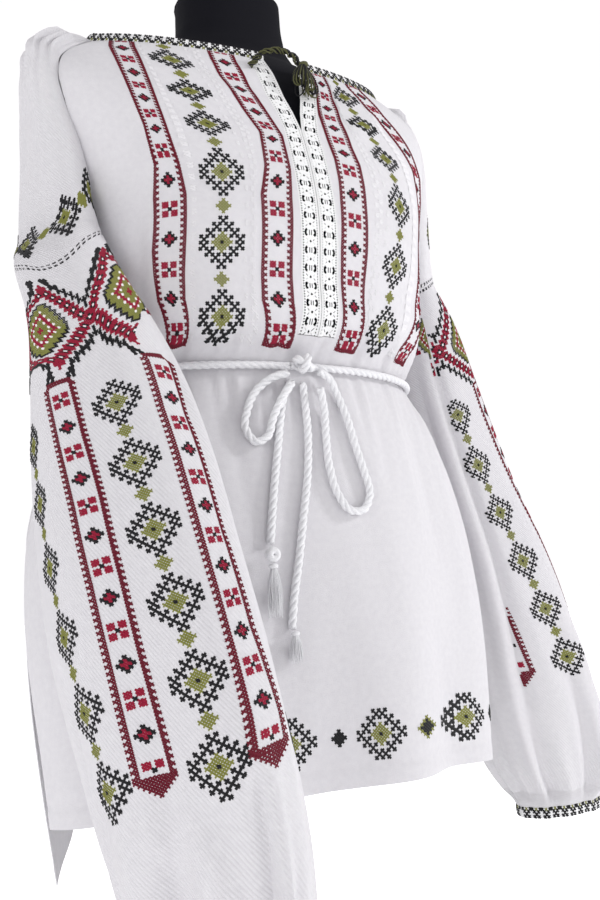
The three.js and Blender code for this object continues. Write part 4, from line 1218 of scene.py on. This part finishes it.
def branch_diamond(chart, a, b):
    """A black diamond with twigs round an olive middle."""
    s = a + b
    odd = a % 2 == 1
    chart[(s == 7) | (odd & ((s == 5) | ((s == 9) & (a <= 7))))] = BLACK
    chart[(s >= 1) & (s <= 3)] = OLIVE
    chart[s == 0] = BLACK


def diamond_column(chart, a, rows, first, repeat):
    """Branch diamonds with small olive lozenges between them."""
    branch_diamond(chart, a, away_from(rows, first, repeat))
    lozenge = a + away_from(rows, first + repeat // 2, repeat) <= 2
    chart[lozenge] = OLIVE


def ladder(chart, a, rows, first, rail, teeth):
    """Two rails with teeth, and flowers and small diamonds between them."""
    chart[a == rail] = RAIL
    chart[(a == teeth) & (rows % 2 == 0)] = RAIL
    flower = away_from(rows, first, 20)
    chart[(a >= 1) & (a <= 2) & (flower >= 1) & (flower <= 2)] = CRIMSON
    chart[(a == 0) & (flower == 0)] = BLACK
    small = a + away_from(rows, first + 10, 20)
    chart[small == 2] = BLACK
    chart[small <= 1] = CRIMSON


# %% Chart of the chest
def chest_chart():
    columns_, rows = np.meshgrid(np.arange(-54, 55), np.arange(-1, 141))
    chart = np.zeros(columns_.shape, int)
    a = np.abs(columns_)
    diamonds = np.zeros_like(chart)
    diamond_column(diamonds, np.abs(a - 32), rows, 6, 24)
    near = np.abs(a - 32) <= 8
    chart[near] = diamonds[near]
    for middle in (13, 48):
        stripe = np.zeros_like(chart)
        ladder(stripe, np.abs(a - middle), rows, 2, 5, 4)
        near = np.abs(a - middle) <= 5
        chart[near] = stripe[near]
        chart[near & (rows == -1)] = RAIL
    for first in (21, 22):
        chart[(a == first) & ((rows // 2 + first) % 2 == 0) & (chart == NONE)] = RELIEF
    chart[(a == 41) & (rows % 4 < 2) & (chart == NONE)] = RELIEF
    chart[(a == 24) & (rows % 6 < 2) & (chart == NONE)] = RELIEF
    return columns_, rows, chart


# %% Chart of a sleeve
BAND_REPEAT = 40
SLEEVE_CHART_HALF = 90
FIRST_DIAMOND = 36
DIAMOND_REPEAT = 23
LAST_DIAMOND = FIRST_DIAMOND + 5 * DIAMOND_REPEAT
STRIPE_TOP = 26
STRIPE_TIP = 153


def sleeve_chart():
    """Three diamond columns and two ladders under a crossed band. The rest of the sleeve stays plain."""
    columns_, rows = np.meshgrid(np.arange(-SLEEVE_CHART_HALF, SLEEVE_CHART_HALF + 1), np.arange(-64, 161))
    chart = np.zeros(columns_.shape, int)
    a = np.abs(columns_)
    for middle in (0, 42):
        near = (np.abs(a - middle) <= 8) & (rows > STRIPE_TOP) & (rows <= LAST_DIAMOND + 8)
        diamonds = np.zeros_like(chart)
        diamond_column(diamonds, np.abs(a - middle), rows, FIRST_DIAMOND, DIAMOND_REPEAT)
        chart[near] = diamonds[near]
    stripe = np.zeros_like(chart)
    b = np.abs(a - 21)
    ladder(stripe, b, rows, 31, 4, 5)
    near = (b <= 5) & (rows >= STRIPE_TOP) & (rows <= STRIPE_TIP)
    chart[near] = stripe[near]
    chart[(b <= 4) & (rows == STRIPE_TOP - 1)] = RAIL
    chart[(b <= 3) & ((rows == STRIPE_TOP) | (rows == STRIPE_TIP - 1))] = NONE
    tip = rows - STRIPE_TIP
    chart[(tip >= 0) & (b <= 5 - tip)] = RAIL
    sleeve_band(chart, columns_, rows)
    chart[(columns_ < -22) & (rows > 8) & (rows < 24)] = NONE
    return columns_, rows, chart


def sleeve_band(chart, columns_, rows):
    """Crossing crimson bands with rosettes between them, and a row of diamonds over them."""
    p = np.abs((columns_ + BAND_REPEAT // 2) % BAND_REPEAT - BAND_REPEAT // 2)
    q = np.abs(rows)
    off = q - p
    crimson = (np.abs(off) <= 2) | ((np.abs(off) == 3) & (q % 2 == 1))
    chart[crimson & (q <= 22)] = CRIMSON
    bead_row = np.minimum(np.round((p + q) / 6.0) * 3, 18)
    bead = np.abs(p - bead_row) + np.abs(q - bead_row)
    chart[bead == 1] = BLACK
    chart[bead == 0] = WHITE
    spine = off == 7
    twig = (p % 3 == 0) & (np.abs(off - 7) <= 2)
    chart[(spine | twig) & (p <= 17) & (q <= 24)] = BLACK
    rosette(chart, np.abs(p - BAND_REPEAT // 2), q)
    upper = np.abs(rows + 54)
    row_chart = np.zeros_like(chart)
    a = np.abs((columns_ + 6 + 10) % 21 - 10)
    branch_diamond(row_chart, a, upper)
    between = np.abs((columns_ + 6) % 21 - 10.5) + upper <= 2.6
    row_chart[between] = OLIVE
    chart[upper <= 9] = row_chart[upper <= 9]


def rosette(chart, a, b):
    """A stepped olive cross in a black outline, with a red lozenge between white dots."""
    stepped = np.zeros(chart.shape, bool)
    outline = np.zeros(chart.shape, bool)
    for wide, tall in ((1, 11), (3, 9), (5, 7), (7, 5), (9, 3), (10, 1)):
        stepped |= (a <= wide) & (b <= tall)
        outline |= (a <= wide + 1) & (b <= tall + 1)
    chart[outline] = OUTLINE
    chart[stepped] = OLIVE
    s = a + b
    chart[stepped & ((s == 6) | (s == 7))] = CRIMSON
    chart[stepped & ((s == 5) | (s == 8)) & (a % 2 == 0)] = WHITE
    chart[s <= 1] = CRIMSON


# %% Chart of the hem and of the edgings
def hem_chart(half):
    """Branch diamonds lying on their side, with small black and olive lozenges between them."""
    columns_, rows = np.meshgrid(np.arange(-half, half + 1), np.arange(-9, 10))
    chart = np.zeros(columns_.shape, int)
    a = np.abs((columns_ - 15 + 15) % 31 - 15)
    branch_diamond(chart, np.abs(rows), a)
    small = np.abs((columns_ + 15) % 31 - 15)
    number = (columns_ + 15) // 31 % 2
    near = small <= 5
    chart[near] = NONE
    s = small + np.abs(rows)
    chart[near & (s <= 3) & (number == 1) & ((small * rows) % 2 == 0)] = OLIVE
    chart[near & (s <= 2)] = BLACK
    return columns_, rows, chart


def edging_chart(length):
    """A chain of black crosses with olive dots between them."""
    columns_, rows = np.meshgrid(np.arange(length), np.arange(4))
    chart = np.zeros(columns_.shape, int)
    chart[((columns_ - rows) % 5 == 0) | ((columns_ + rows + 1) % 5 == 0)] = BLACK
    chart[(rows == 0) & ((columns_ + 3) % 5 == 0)] = OLIVE
    return columns_, rows, chart


charts = {"chest": chest_chart(), "sleeve": sleeve_chart()}
print("stitches", {name: int((chart[2] > 0).sum()) for name, chart in charts.items()})

# %% [markdown]
# ## One stitch
# A cross stitch is two slanting threads that cross over one square of the cloth. Each thread here is a small
# roof, so a stitch has eight triangles and still catches the light like thread. The four
# corners of every square are found on the cloth first, and the stitch is built between them.

# %% Working the stitches
THREAD_HEIGHT = 0.40
CROSSING_LIFT = 0.16
LONGEST_THREAD = 8.0
FOOT_DEPTH = 0.12
FULLNESS, THREAD_WIDTH = np.array([row[3:] for row in THREADS.values()]).T


def roof(start, end, side, normal, high):
    """Two slopes over a slanting thread, with their feet in the cloth."""
    foot = -FOOT_DEPTH * normal
    top = high * normal
    points = np.stack([start - side + foot, start + top, start + side + foot,
                       end - side + foot, end + top, end + side + foot], 1)
    return points, np.array([(0, 3, 4, 1), (1, 4, 5, 2)])


def work_stitches(name, chart_rows, surface):
    """Builds every stitch of a chart. surface gives points and directions at chart places."""
    column, row, chart = (part.ravel() for part in chart_rows)
    kept = chart > 0
    column, row, colour = column[kept].astype(float), row[kept].astype(float), chart[kept]
    corners, normal, valid = surface(column, row)
    corners, normal, colour = corners[:, valid], normal[valid], colour[valid]
    middle = corners.mean(axis=0)
    corners = middle + (corners - middle) * FULLNESS[colour - 1][:, None]
    vertices, polygons, materials = [], [], []
    count = 0
    for number, (first, last) in enumerate(((0, 2), (1, 3))):
        start, end = corners[first], corners[last]
        along = end - start
        side = np.cross(normal, along)
        long, wide = (np.linalg.norm(vector, axis=1, keepdims=True) for vector in (along, side))
        side *= THREAD_WIDTH[colour - 1][:, None] / 2 * long / wide
        points, faces = roof(start, end, side, normal, THREAD_HEIGHT + number * CROSSING_LIFT)
        vertices.append(points.reshape(-1, 3))
        base = count + 6 * np.arange(len(start))[:, None, None]
        polygons += (base + faces[None]).reshape(-1, 4).tolist()
        materials += np.repeat(colour - 1, 2).tolist()
        count += 6 * len(start)
    piece = mesh_object(name, np.concatenate(vertices), polygons, *threads.values(), smooth=False)
    piece.data.polygons.foreach_set("material_index", materials)
    print(name, int(valid.sum()), "stitches")


CORNERS = ((-0.57, -0.57), (0.57, -0.57), (0.57, 0.57), (-0.57, 0.57))
BAND_CORNERS = ((-0.72, -0.66), (0.72, -0.66), (0.72, 0.66), (-0.72, 0.66))

# %% Stitches of the front
# Columns: height of the row, then the distances of the inner stripe's two edges, the diamonds' middle and
# the outer stripe's two edges.
CHART_HEIGHTS = columns("row height", [
    (-2, 736.6), (0, 741.5), (54, 874), (62.5, 895), (70, 908), (86, 929), (96, 942), (108, 954),
    (116, 966), (126, 979), (141, 999.6),
])
CHEST_COLUMNS = np.array([7.5, 18.5, 24, 32, 40, 42.5, 53.5])
DIAMOND_HALF = 8 * 2.35
CHEST_RIGHT = columns("height a b c d e", [
    (742, 20, 44, 82, 105, 122), (770, 25, 52, 83, 112, 134), (811, 25, 51, 83, 111, 138),
    (856, 23, 50, 80, 109, 136), (883, 20, 43, 79, 112, 132), (916, 20, 41, 83, 118, 136),
    (950, 33, 57, 94, 124, 145), (990, 45, 68, 106, 131, 155),
])
CHEST_LEFT = columns("height a b c d e", [
    (742, 22, 44, 64, 96, 122), (776, 20, 43, 72, 125, 151), (818, 20, 48, 86, 140, 166),
    (861, 23, 51, 97, 148, 174), (880, 25, 53, 100, 150, 176), (902, 26, 54, 97, 146, 172),
    (920, 24, 50, 91, 140, 166), (948, 23, 47, 72, 108, 134), (970, 27, 48, 62, 86, 110),
    (993, 30, 46, 58, 72, 96),
])


def chest_distance(column, height):
    """Distance from the centre line of a chart column at a height."""
    made = np.zeros_like(column)
    for table, sign in ((CHEST_RIGHT, -1), (CHEST_LEFT, 1)):
        a, b, c, d, e = [np.interp(height, table["height"], table[name]) for name in "abcde"]
        edges = [a, b, np.maximum(c - DIAMOND_HALF, b + 2), c, np.minimum(c + DIAMOND_HALF, d - 2), d, e]
        size = np.abs(column)
        knots = np.concatenate([[0], CHEST_COLUMNS, [CHEST_COLUMNS[-1] + BEYOND]])
        values = np.stack([0 * height] + edges + [edges[-1] + BEYOND * STITCH], 0)
        here = along_straights(knots, values, size)
        made = np.where(np.sign(column) == sign, sign * here, made)
    return made


def panel_surface(body, place_of):
    """Corners and directions on the front or the back, by chart place."""
    def surface(column, row):
        corners = []
        for step_across, step_up in CORNERS:
            height, distance = place_of(column + step_across, row + step_up)
            corners.append(body.point(height, body.place(height, distance)))
        height, distance = place_of(column, row)
        normal = outward(body.bare, height, body.place(height, distance), 1.0, 0.004, turn=body.facing)
        return np.stack(corners), normal, np.abs(distance) < 320
    return surface


def chest_place(column, row):
    height = np.interp(row, CHART_HEIGHTS["row"], CHART_HEIGHTS["height"])
    return height, chest_distance(column, height)


HEM_HEIGHT = 433
HEM_HALF = 87
FRONT_HEM = columns("column distance", [(-93, -225), (-31, -88), (-15.5, -50), (0, -11), (15.5, 24), (31, 69),
                                        (46.5, 143), (62, 182), (93, 258)])


def front_hem_place(column, row):
    distance = through(FRONT_HEM["column"], FRONT_HEM["distance"], column)
    return HEM_HEIGHT + STITCH * row, distance


def back_hem_place(column, row):
    return HEM_HEIGHT + BACK_FOOT - FRONT_FOOT + STITCH * row, STITCH * column


work_stitches("chest_stitches", charts["chest"], panel_surface(front_panel, chest_place))
work_stitches("front_hem_stitches", hem_chart(HEM_HALF), panel_surface(front_panel, front_hem_place))
work_stitches("back_hem_stitches", hem_chart(HEM_HALF), panel_surface(back_panel, back_hem_place))


# %% Stitches of the sleeves
def sleeve_surface(sleeve, place_of):
    def surface(column, row):
        corners = []
        valid = np.ones(len(column), bool)
        for step_across, step_up in CORNERS:
            down, part = place_of(column + step_across, row + step_up)
            valid &= (part > 0.012) & (part < 0.988)
            ring = sleeve.ring_at(down, np.clip(part, 0.002, 0.998))
            corners.append(sleeve.point(ring, np.clip(part, 0.0, 1.0)))
        for first, last in ((0, 2), (1, 3)):
            valid &= np.linalg.norm(corners[first] - corners[last], axis=1) < LONGEST_THREAD
        down, part = place_of(column, row)
        valid &= down < sleeve.knots[-1] - 4
        inside = np.clip(part, 0.01, 0.99)
        ring = np.clip(sleeve.ring_at(down, inside), 0.05, sleeve.count - 1.05)
        normal = outward(sleeve.bare, ring, inside, 0.02, 0.003, turn=sleeve.side)
        return np.stack(corners), normal, valid
    return surface


work_stitches("sleeve_right_stitches", charts["sleeve"], sleeve_surface(sleeves["right"], right_sleeve_place))
work_stitches("sleeve_left_stitches", charts["sleeve"], sleeve_surface(sleeves["left"], left_sleeve_place))

# %% [markdown]
# ## Lace
# The two strips are cotton lace with real holes: two moons with two thin slits between them, small eyes with
# rays, dots down the sides, and ribbed edges. The strip is a fine grid, the faces inside the holes are
# deleted, and what is left gets the thickness of the yarn.

# %% Lace strips
LACE_REPEAT = 14.4
LACE_CELL = 0.55
LACE_THICKNESS = 0.5
LACE_LINES = 35


def in_round(x, y, half, tall):
    """True inside a rounded hole of this half width and half height."""
    return (x / half) ** 2 + (y / tall) ** 2 < 1


def lace_hole(across, along):
    """True inside a hole. across runs from 0 at the centre seam to LACE_WIDTH, along goes up the strip."""
    side = np.abs(across - LACE_WIDTH / 2)
    beat = np.mod(along, LACE_REPEAT) - LACE_REPEAT / 2
    between = np.abs(np.mod(along + LACE_REPEAT / 2, LACE_REPEAT) - LACE_REPEAT / 2)
    moons = in_round(side - 3.8, beat, 1.75, 3.2) & ~in_round(side - 2.5, beat, 0.8, 1.5)
    slits = (np.abs(side - 1.1) < 0.5) & (np.abs(beat) < 2.1)
    eyes = in_round(side, between, 1.0, 1.1)
    rays = (np.abs(side - between * 0.9 - 1.9) < 0.38) & (between < 2.4) & (between > 0.7)
    dots = (np.abs(side - 6.4) < 0.6) & (np.mod(along, 2.2) < 1.15)
    return moons | slits | eyes | rays | dots


def make_lace(name, sign):
    heights = np.arange(LACE_FOOT + 0.5, 999.6, LACE_CELL)
    steps = np.linspace(0.2, LACE_WIDTH - 0.3, LACE_LINES)
    tall = np.broadcast_to(heights[:, None], (len(heights), len(steps)))
    distance = sign * (slit_half(tall) + steps[None])
    ribs = 0.35 * np.cos(2 * np.pi * steps / 1.7) * (np.abs(steps - LACE_WIDTH / 2) > 6.6)
    puff = 0.25 * np.sin(2 * np.pi * heights / 1.8)[:, None] * np.ones(len(steps))
    points = front_panel.point(tall, front_panel.place(tall, distance), lift=0.2 + ribs[None] + puff * 0.4)
    if sign < 0:
        points, steps = points[:, ::-1], steps[::-1]
    middle_across = np.broadcast_to((steps[1:] + steps[:-1])[None] / 2, (len(heights) - 1, len(steps) - 1))
    middle_along = np.broadcast_to((heights[1:] + heights[:-1])[:, None] / 2, middle_across.shape)
    keep = ~lace_hole(middle_across, middle_along)
    lace = lay_cloth(name + "_strip", points, flat_sizes(points), lace_yarn, wall=LACE_THICKNESS, keep=keep)
    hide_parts(name)
    return lace


lace_strips = [make_lace("lace_right", -1), make_lace("lace_left", 1)]

# %% [markdown]
# ## Neck band and cuffs
# The edges are finished by narrow bands with a worked chain of black crosses and olive dots. The neck band
# follows the whole neckline, from one side of the slit round the back to the other, and leans inwards. A cuff
# carries the end of its sleeve on for a finger's width.

# %% Neckline and bands
BAND_WIDTH = 9.0
BAND_SLOPE_FRONT = 78
BAND_SLOPE_SIDE = 60
CUFF_WIDTH = 11.0
BAND_THICKNESS = 1.6
BAND_STEP = 1.95


def neckline():
    """The upper edges of front, left sleeve, back and right sleeve, joined to one line."""
    steps = np.linspace(0, 1, 120)
    top = np.full(len(steps), FRONT_TOP)
    edge = front_panel.distance(top[:1], np.array([1.0]))[0]
    start = slit_half(FRONT_TOP)
    to_left = front_panel.point(top, front_panel.place(top, start + (edge - start) * steps))
    to_right = front_panel.point(top, front_panel.place(top, -(start + (edge - start) * steps)))
    ring = np.zeros(len(steps))
    left = sleeves["left"].point(ring, steps)
    right = sleeves["right"].point(ring, steps)
    back = back_panel.point(np.full(len(steps), BACK_TOP), np.linspace(1, -1, len(steps)))
    line = np.concatenate([to_left, left[1:], back[1:], right[::-1][1:], to_right[::-1][1:]])
    line = evenly(line, int(walk(line)[-1] / BAND_STEP))
    for _ in range(3):
        line[1:-1] = (line[:-2] + 2 * line[1:-1] + line[2:]) / 4
    return line


def band_step(line):
    """Direction in which the neck band goes on from the neckline."""
    sideways = np.abs(line[:, 0]) / (np.abs(line[:, 0]) + np.abs(line[:, 1]))
    slope = np.radians(BAND_SLOPE_FRONT + (BAND_SLOPE_SIDE - BAND_SLOPE_FRONT) * sideways)
    inward = -line * (1, 1, 0)
    inward /= np.linalg.norm(inward, axis=1, keepdims=True)
    return inward * np.cos(slope)[:, None] + np.array([0, 0, 1]) * np.sin(slope)[:, None]


def band_grid(line, step, width, puff):
    """Rows of a band: from its seam to its free edge, with a soft swelling between."""
    levels = np.linspace(0, 1, 6)
    ahead = np.gradient(line, axis=0)
    out = np.cross(ahead, step)
    out /= np.linalg.norm(out, axis=1, keepdims=True)
    rows = [line + step * width * level + out * puff * math.sin(math.pi * level) for level in levels]
    return np.stack(rows), out


def band_surface(grid, out, stitch_rows):
    """Corners and directions on a band, by chart place."""
    rows, cols = grid.shape[:2]

    def surface(column, row):
        corners = []
        for step_across, step_up in BAND_CORNERS:
            r = (row + 0.75 + step_up) / (stitch_rows + 0.5) * (rows - 1)
            c = np.clip(column + 0.6 + step_across, 0, cols - 1.01)
            corners.append(np.stack([lookup(grid[..., k], r, c) for k in range(3)], -1))
        normal = out[np.clip(column.astype(int), 0, cols - 1)]
        return np.stack(corners), normal, column < cols - 2
    return surface


def make_neck_band():
    line = neckline()
    grid, out = band_grid(line, band_step(line), BAND_WIDTH, 0.5)
    band = lay_cloth("neck_band_cloth", grid, flat_sizes(grid), band_cloth, wall=BAND_THICKNESS)
    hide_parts("neck_band")
    work_stitches("neck_band_stitches", edging_chart(grid.shape[1] - 1), band_surface(grid, out, 4))
    print("neckline", round(length_of(line)), "mm")
    return band


def make_cuff(name):
    sleeve = sleeves[name]
    parts = np.linspace(0, 1, 400)
    if name == "left":
        parts = parts[::-1]
    end = sleeve.point(np.full(len(parts), sleeve.count - 1.0), parts)
    line = evenly(end, int(walk(end)[-1] / BAND_STEP))
    down = sleeve.middles[-1] - sleeve.middles[-2]
    down /= np.linalg.norm(down)
    grid, out = band_grid(line, np.broadcast_to(down, line.shape), CUFF_WIDTH, 0.5)
    cuff = lay_cloth("cuff_" + name + "_cloth", grid, flat_sizes(grid), band_cloth, wall=BAND_THICKNESS)
    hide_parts("cuff_" + name)
    work_stitches("cuff_" + name + "_stitches", edging_chart(grid.shape[1] - 1), band_surface(grid, out, 4))
    print("cuff", name, round(length_of(line)), "mm")
    return cuff


neck_band_cloth = make_neck_band()
cuffs = [make_cuff("right"), make_cuff("left")]

# %% [markdown]
# ## Neck tie
# A small tie of embroidery threads closes the top of the slit. It is a loose twist of olive and black
# threads from one edge of the slit to the other, with a bunch of looped threads on its end.

# %% Neck tie
TIE_THREADS = 9
TIE_LOOPS = 34
TIE_THREAD_RADIUS = 0.62
TIE_BRIDGE = [(-34, -103.2, 988), (-25, -110, 998), (-10, -112, 1003), (5, -110, 1002), (15, -106.8, 994)]


def make_neck_tie():
    line = smooth_line(TIE_BRIDGE, 1.2)
    one, other = frames_along(line)
    walked = walk(line)
    parts, shades = [], []
    for k in range(TIE_THREADS):
        turn = 2 * np.pi * (walked / (15 + 2 * (k % 3)) + k / TIE_THREADS)
        around = np.cos(turn)[:, None] * one + np.sin(turn)[:, None] * other
        away = 1.7 + 0.9 * np.sin(walked / 4.0 + 1.7 * k)
        parts.append(tube_mesh(line + around * away[:, None], TIE_THREAD_RADIUS, 6))
        shades += [k % 2] * len(parts[-1][1])
    tie = mesh_object("neck_tie_threads", *joined(parts), tie_olive, threads["black"])
    tie.data.polygons.foreach_set("material_index", shades)
    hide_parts("neck_tie")
    low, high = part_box("neck_tie_tassel")
    middle = np.array([(low.x + high.x) / 2, (low.y + high.y) / 2, high.z]) / MM
    parts, shades = [], []
    for k in range(TIE_LOOPS):
        turn = GOLDEN_ANGLE * k
        wide = 9.0 + 12.0 * ((k * 0.618) % 1)
        drop = 15 + 15 * ((k * 0.37) % 1)
        angles = np.linspace(-0.5 * np.pi, 1.5 * np.pi, 17)
        sideways = wide * 0.5 * np.cos(angles) * np.sin((angles + np.pi / 2) / 2)
        depth = drop * (0.5 - 0.5 * np.cos(angles + np.pi / 2))
        lean = 0.34 * depth * math.cos(turn)
        x = sideways * math.cos(turn) + lean
        y = 0.8 * sideways * math.sin(turn) + 0.1 * depth * math.sin(turn)
        loop = np.stack([middle[0] + x, middle[1] + y, middle[2] + 2 - depth], -1)
        parts.append(tube_mesh(loop, TIE_THREAD_RADIUS, 5))
        shades += [k % 2] * len(parts[-1][1])
    collar = torus_part((middle[0] + 1, middle[1] + 1, middle[2] + 1), 2.4, 1.7, flat=1.3)
    parts.append(collar)
    shades += [0] * len(collar[1])
    bunch = mesh_object("neck_tie_loops", *joined(parts), tie_olive, threads["black"])
    bunch.data.polygons.foreach_set("material_index", shades)
    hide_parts("neck_tie_tassel")
    print("neck tie", round(length_of(line)), "mm")


make_neck_tie()

# %% [markdown]
# ## Dress form
# The form is a limbless torso under black jersey, with a cap on its neck, on a short pole with a round base.
# The frame already has its shape, so the frame's own pieces stay and get their finish. Only the torso is
# laid again with finer steps, because facets would show at the neck.

# %% Dress form
for node, finish in (("form_neck_cap", jersey), ("form_under_plate", base_steel), ("form_pole", base_steel),
                     ("form_base", base_steel)):
    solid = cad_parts[node]
    solid.data.materials.clear()
    solid.data.materials.append(finish)

FORM_LEVELS = columns("z half front back", [
    (476, 160, 104, 104), (492, 168, 111, 112), (560, 171, 113, 117), (630, 152, 102, 99),
    (700, 124, 89, 78), (730, 120, 88, 75), (770, 126, 100, 82), (820, 139, 124, 96),
    (856, 147, 131, 101), (896, 156, 124, 103), (936, 163, 109, 98), (970, 166, 98, 89),
    (993, 162, 89, 79), (1008, 150, 80, 73), (1018, 132, 71, 70), (1027, 106, 62, 66),
    (1038, 76, 50, 68), (1054, 58, 43, 68), (1076, 52, 38, 67), (1112, 50, 36, 66),
])
FORM_SQUARE = 2.15
FORM_FOOT, FORM_TOP = FORM_LEVELS["z"][[0, -1]]
FORM_NECK = 1000


def make_form():
    below = np.linspace(FORM_FOOT, FORM_NECK, 90)
    heights = np.concatenate([below, np.linspace(FORM_NECK + 3, FORM_TOP, 50)])
    angles = np.linspace(0, 2 * np.pi, 97)
    tall, turn = np.meshgrid(heights, angles, indexing="ij")
    row = {name: through(FORM_LEVELS["z"], FORM_LEVELS[name], tall) for name in FORM_LEVELS}
    deep = np.where(np.cos(turn) > 0, row["front"], row["back"])
    x, y = oval(turn, row["half"], deep, FORM_SQUARE)
    points = np.stack([x, -y, tall], -1)[:, :-1]
    faces = ring_faces(*points.shape[:2])
    form = mesh_object("form_torso", points.reshape(-1, 3), faces, jersey)
    bpy.ops.object.select_all(action="DESELECT")
    form.select_set(True)
    bpy.context.view_layer.objects.active = form
    bpy.ops.object.shade_smooth_by_angle(angle=math.radians(50))
    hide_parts("form_body")
    return form


form_torso = make_form()

# %% [markdown]
# ## Floor and light
# A pale floor and large soft lights keep the white cloth bright while its folds still show. One light from
# the wearer's left side and above shapes the folds, and a pale world fills the shadows.

# %% Floor and light
SEEN_LIGHT = 1.02
SOFT_LIGHT = 0.70
FLOOR_GLOW = 0.50
bpy.context.scene.view_settings.view_transform = "Standard"
bpy.ops.object.select_all(action="DESELECT")
bpy.ops.mesh.primitive_plane_add(size=30, location=(0, 0, -0.0005))
floor = bpy.context.object
floor.name = "floor"
floor_paint = bpy.data.materials.new("floor_paint")
floor_paint.use_nodes = True
sockets = floor_paint.node_tree.nodes["Principled BSDF"].inputs
sockets["Base Color"].default_value = (0.93, 0.93, 0.94, 1)
sockets["Roughness"].default_value = 0.9
sockets["Emission Color"].default_value = (1, 1, 1, 1)
sockets["Emission Strength"].default_value = FLOOR_GLOW
floor.data.materials.append(floor_paint)

world = bpy.data.worlds.new("pale_world")
bpy.context.scene.world = world
world.use_nodes = True
backdrop = world.node_tree.nodes["Background"]
backdrop.inputs["Color"].default_value = (1.0, 0.99, 1.0, 1)
seen_directly = Wire(world.node_tree).node("ShaderNodeLightPath")
brightness = seen_directly * (SEEN_LIGHT - SOFT_LIGHT) + SOFT_LIGHT
world.node_tree.links.new(brightness.socket, backdrop.inputs["Strength"])


def area_light(name, place, target, size, power):
    light = bpy.data.lights.new(name, "AREA")
    light.shape = "SQUARE"
    light.size = size
    light.energy = power
    lamp = bpy.data.objects.new(name, light)
    bpy.context.collection.objects.link(lamp)
    aim = np.array(target) - np.array(place)
    lamp.rotation_mode = "QUATERNION"
    lamp.rotation_quaternion = Vector(aim).to_track_quat("-Z", "Y")
    lamp.location = place


area_light("key", (2.7, -1.5, 2.1), (0, 0, 0.7), 0.45, 46)
area_light("fill", (-2.8, -1.6, 1.4), (0, 0, 0.7), 1.2, 17)
area_light("rim", (0.6, 2.6, 2.0), (0, 0, 0.8), 1.6, 12)

# %% [markdown]
# ## Cut sizes
# Each piece of cloth is listed with the size it is cut to before it is sewn and gathered, and its area is
# compared.

# %% Cut sizes and areas


def declare_sheet(thing, width, length, held, rests_on):
    """Prints how a sheet's area compares with its flat width and length in metres."""
    area = sum(polygon.area for polygon in thing.data.polygons) / 2
    print(thing.name, "area share", round(area / (width * length), 2))


# Columns: piece, width, length, how it is held, and what it rests on.
CUTS = (
    (front_cloth, 0.50, 0.62, "gathered", [form_torso]),
    (back_cloth, 0.50, 0.66, "gathered", [form_torso]),
    (sleeve_cloths["right"], 0.38, 0.80, "gathered", [form_torso]),
    (sleeve_cloths["left"], 0.38, 0.76, "gathered", [form_torso]),
    (lace_strips[0], 0.017, 0.255, "hung", [front_cloth]),
    (lace_strips[1], 0.017, 0.255, "hung", [front_cloth]),
    (neck_band_cloth, 0.80, 0.010, "stretched", [front_cloth, back_cloth]),
    (cuffs[0], 0.22, 0.011, "stretched", [sleeve_cloths["right"]]),
    (cuffs[1], 0.28, 0.011, "stretched", [sleeve_cloths["left"]]),
)
for cut in CUTS:
    declare_sheet(*cut)
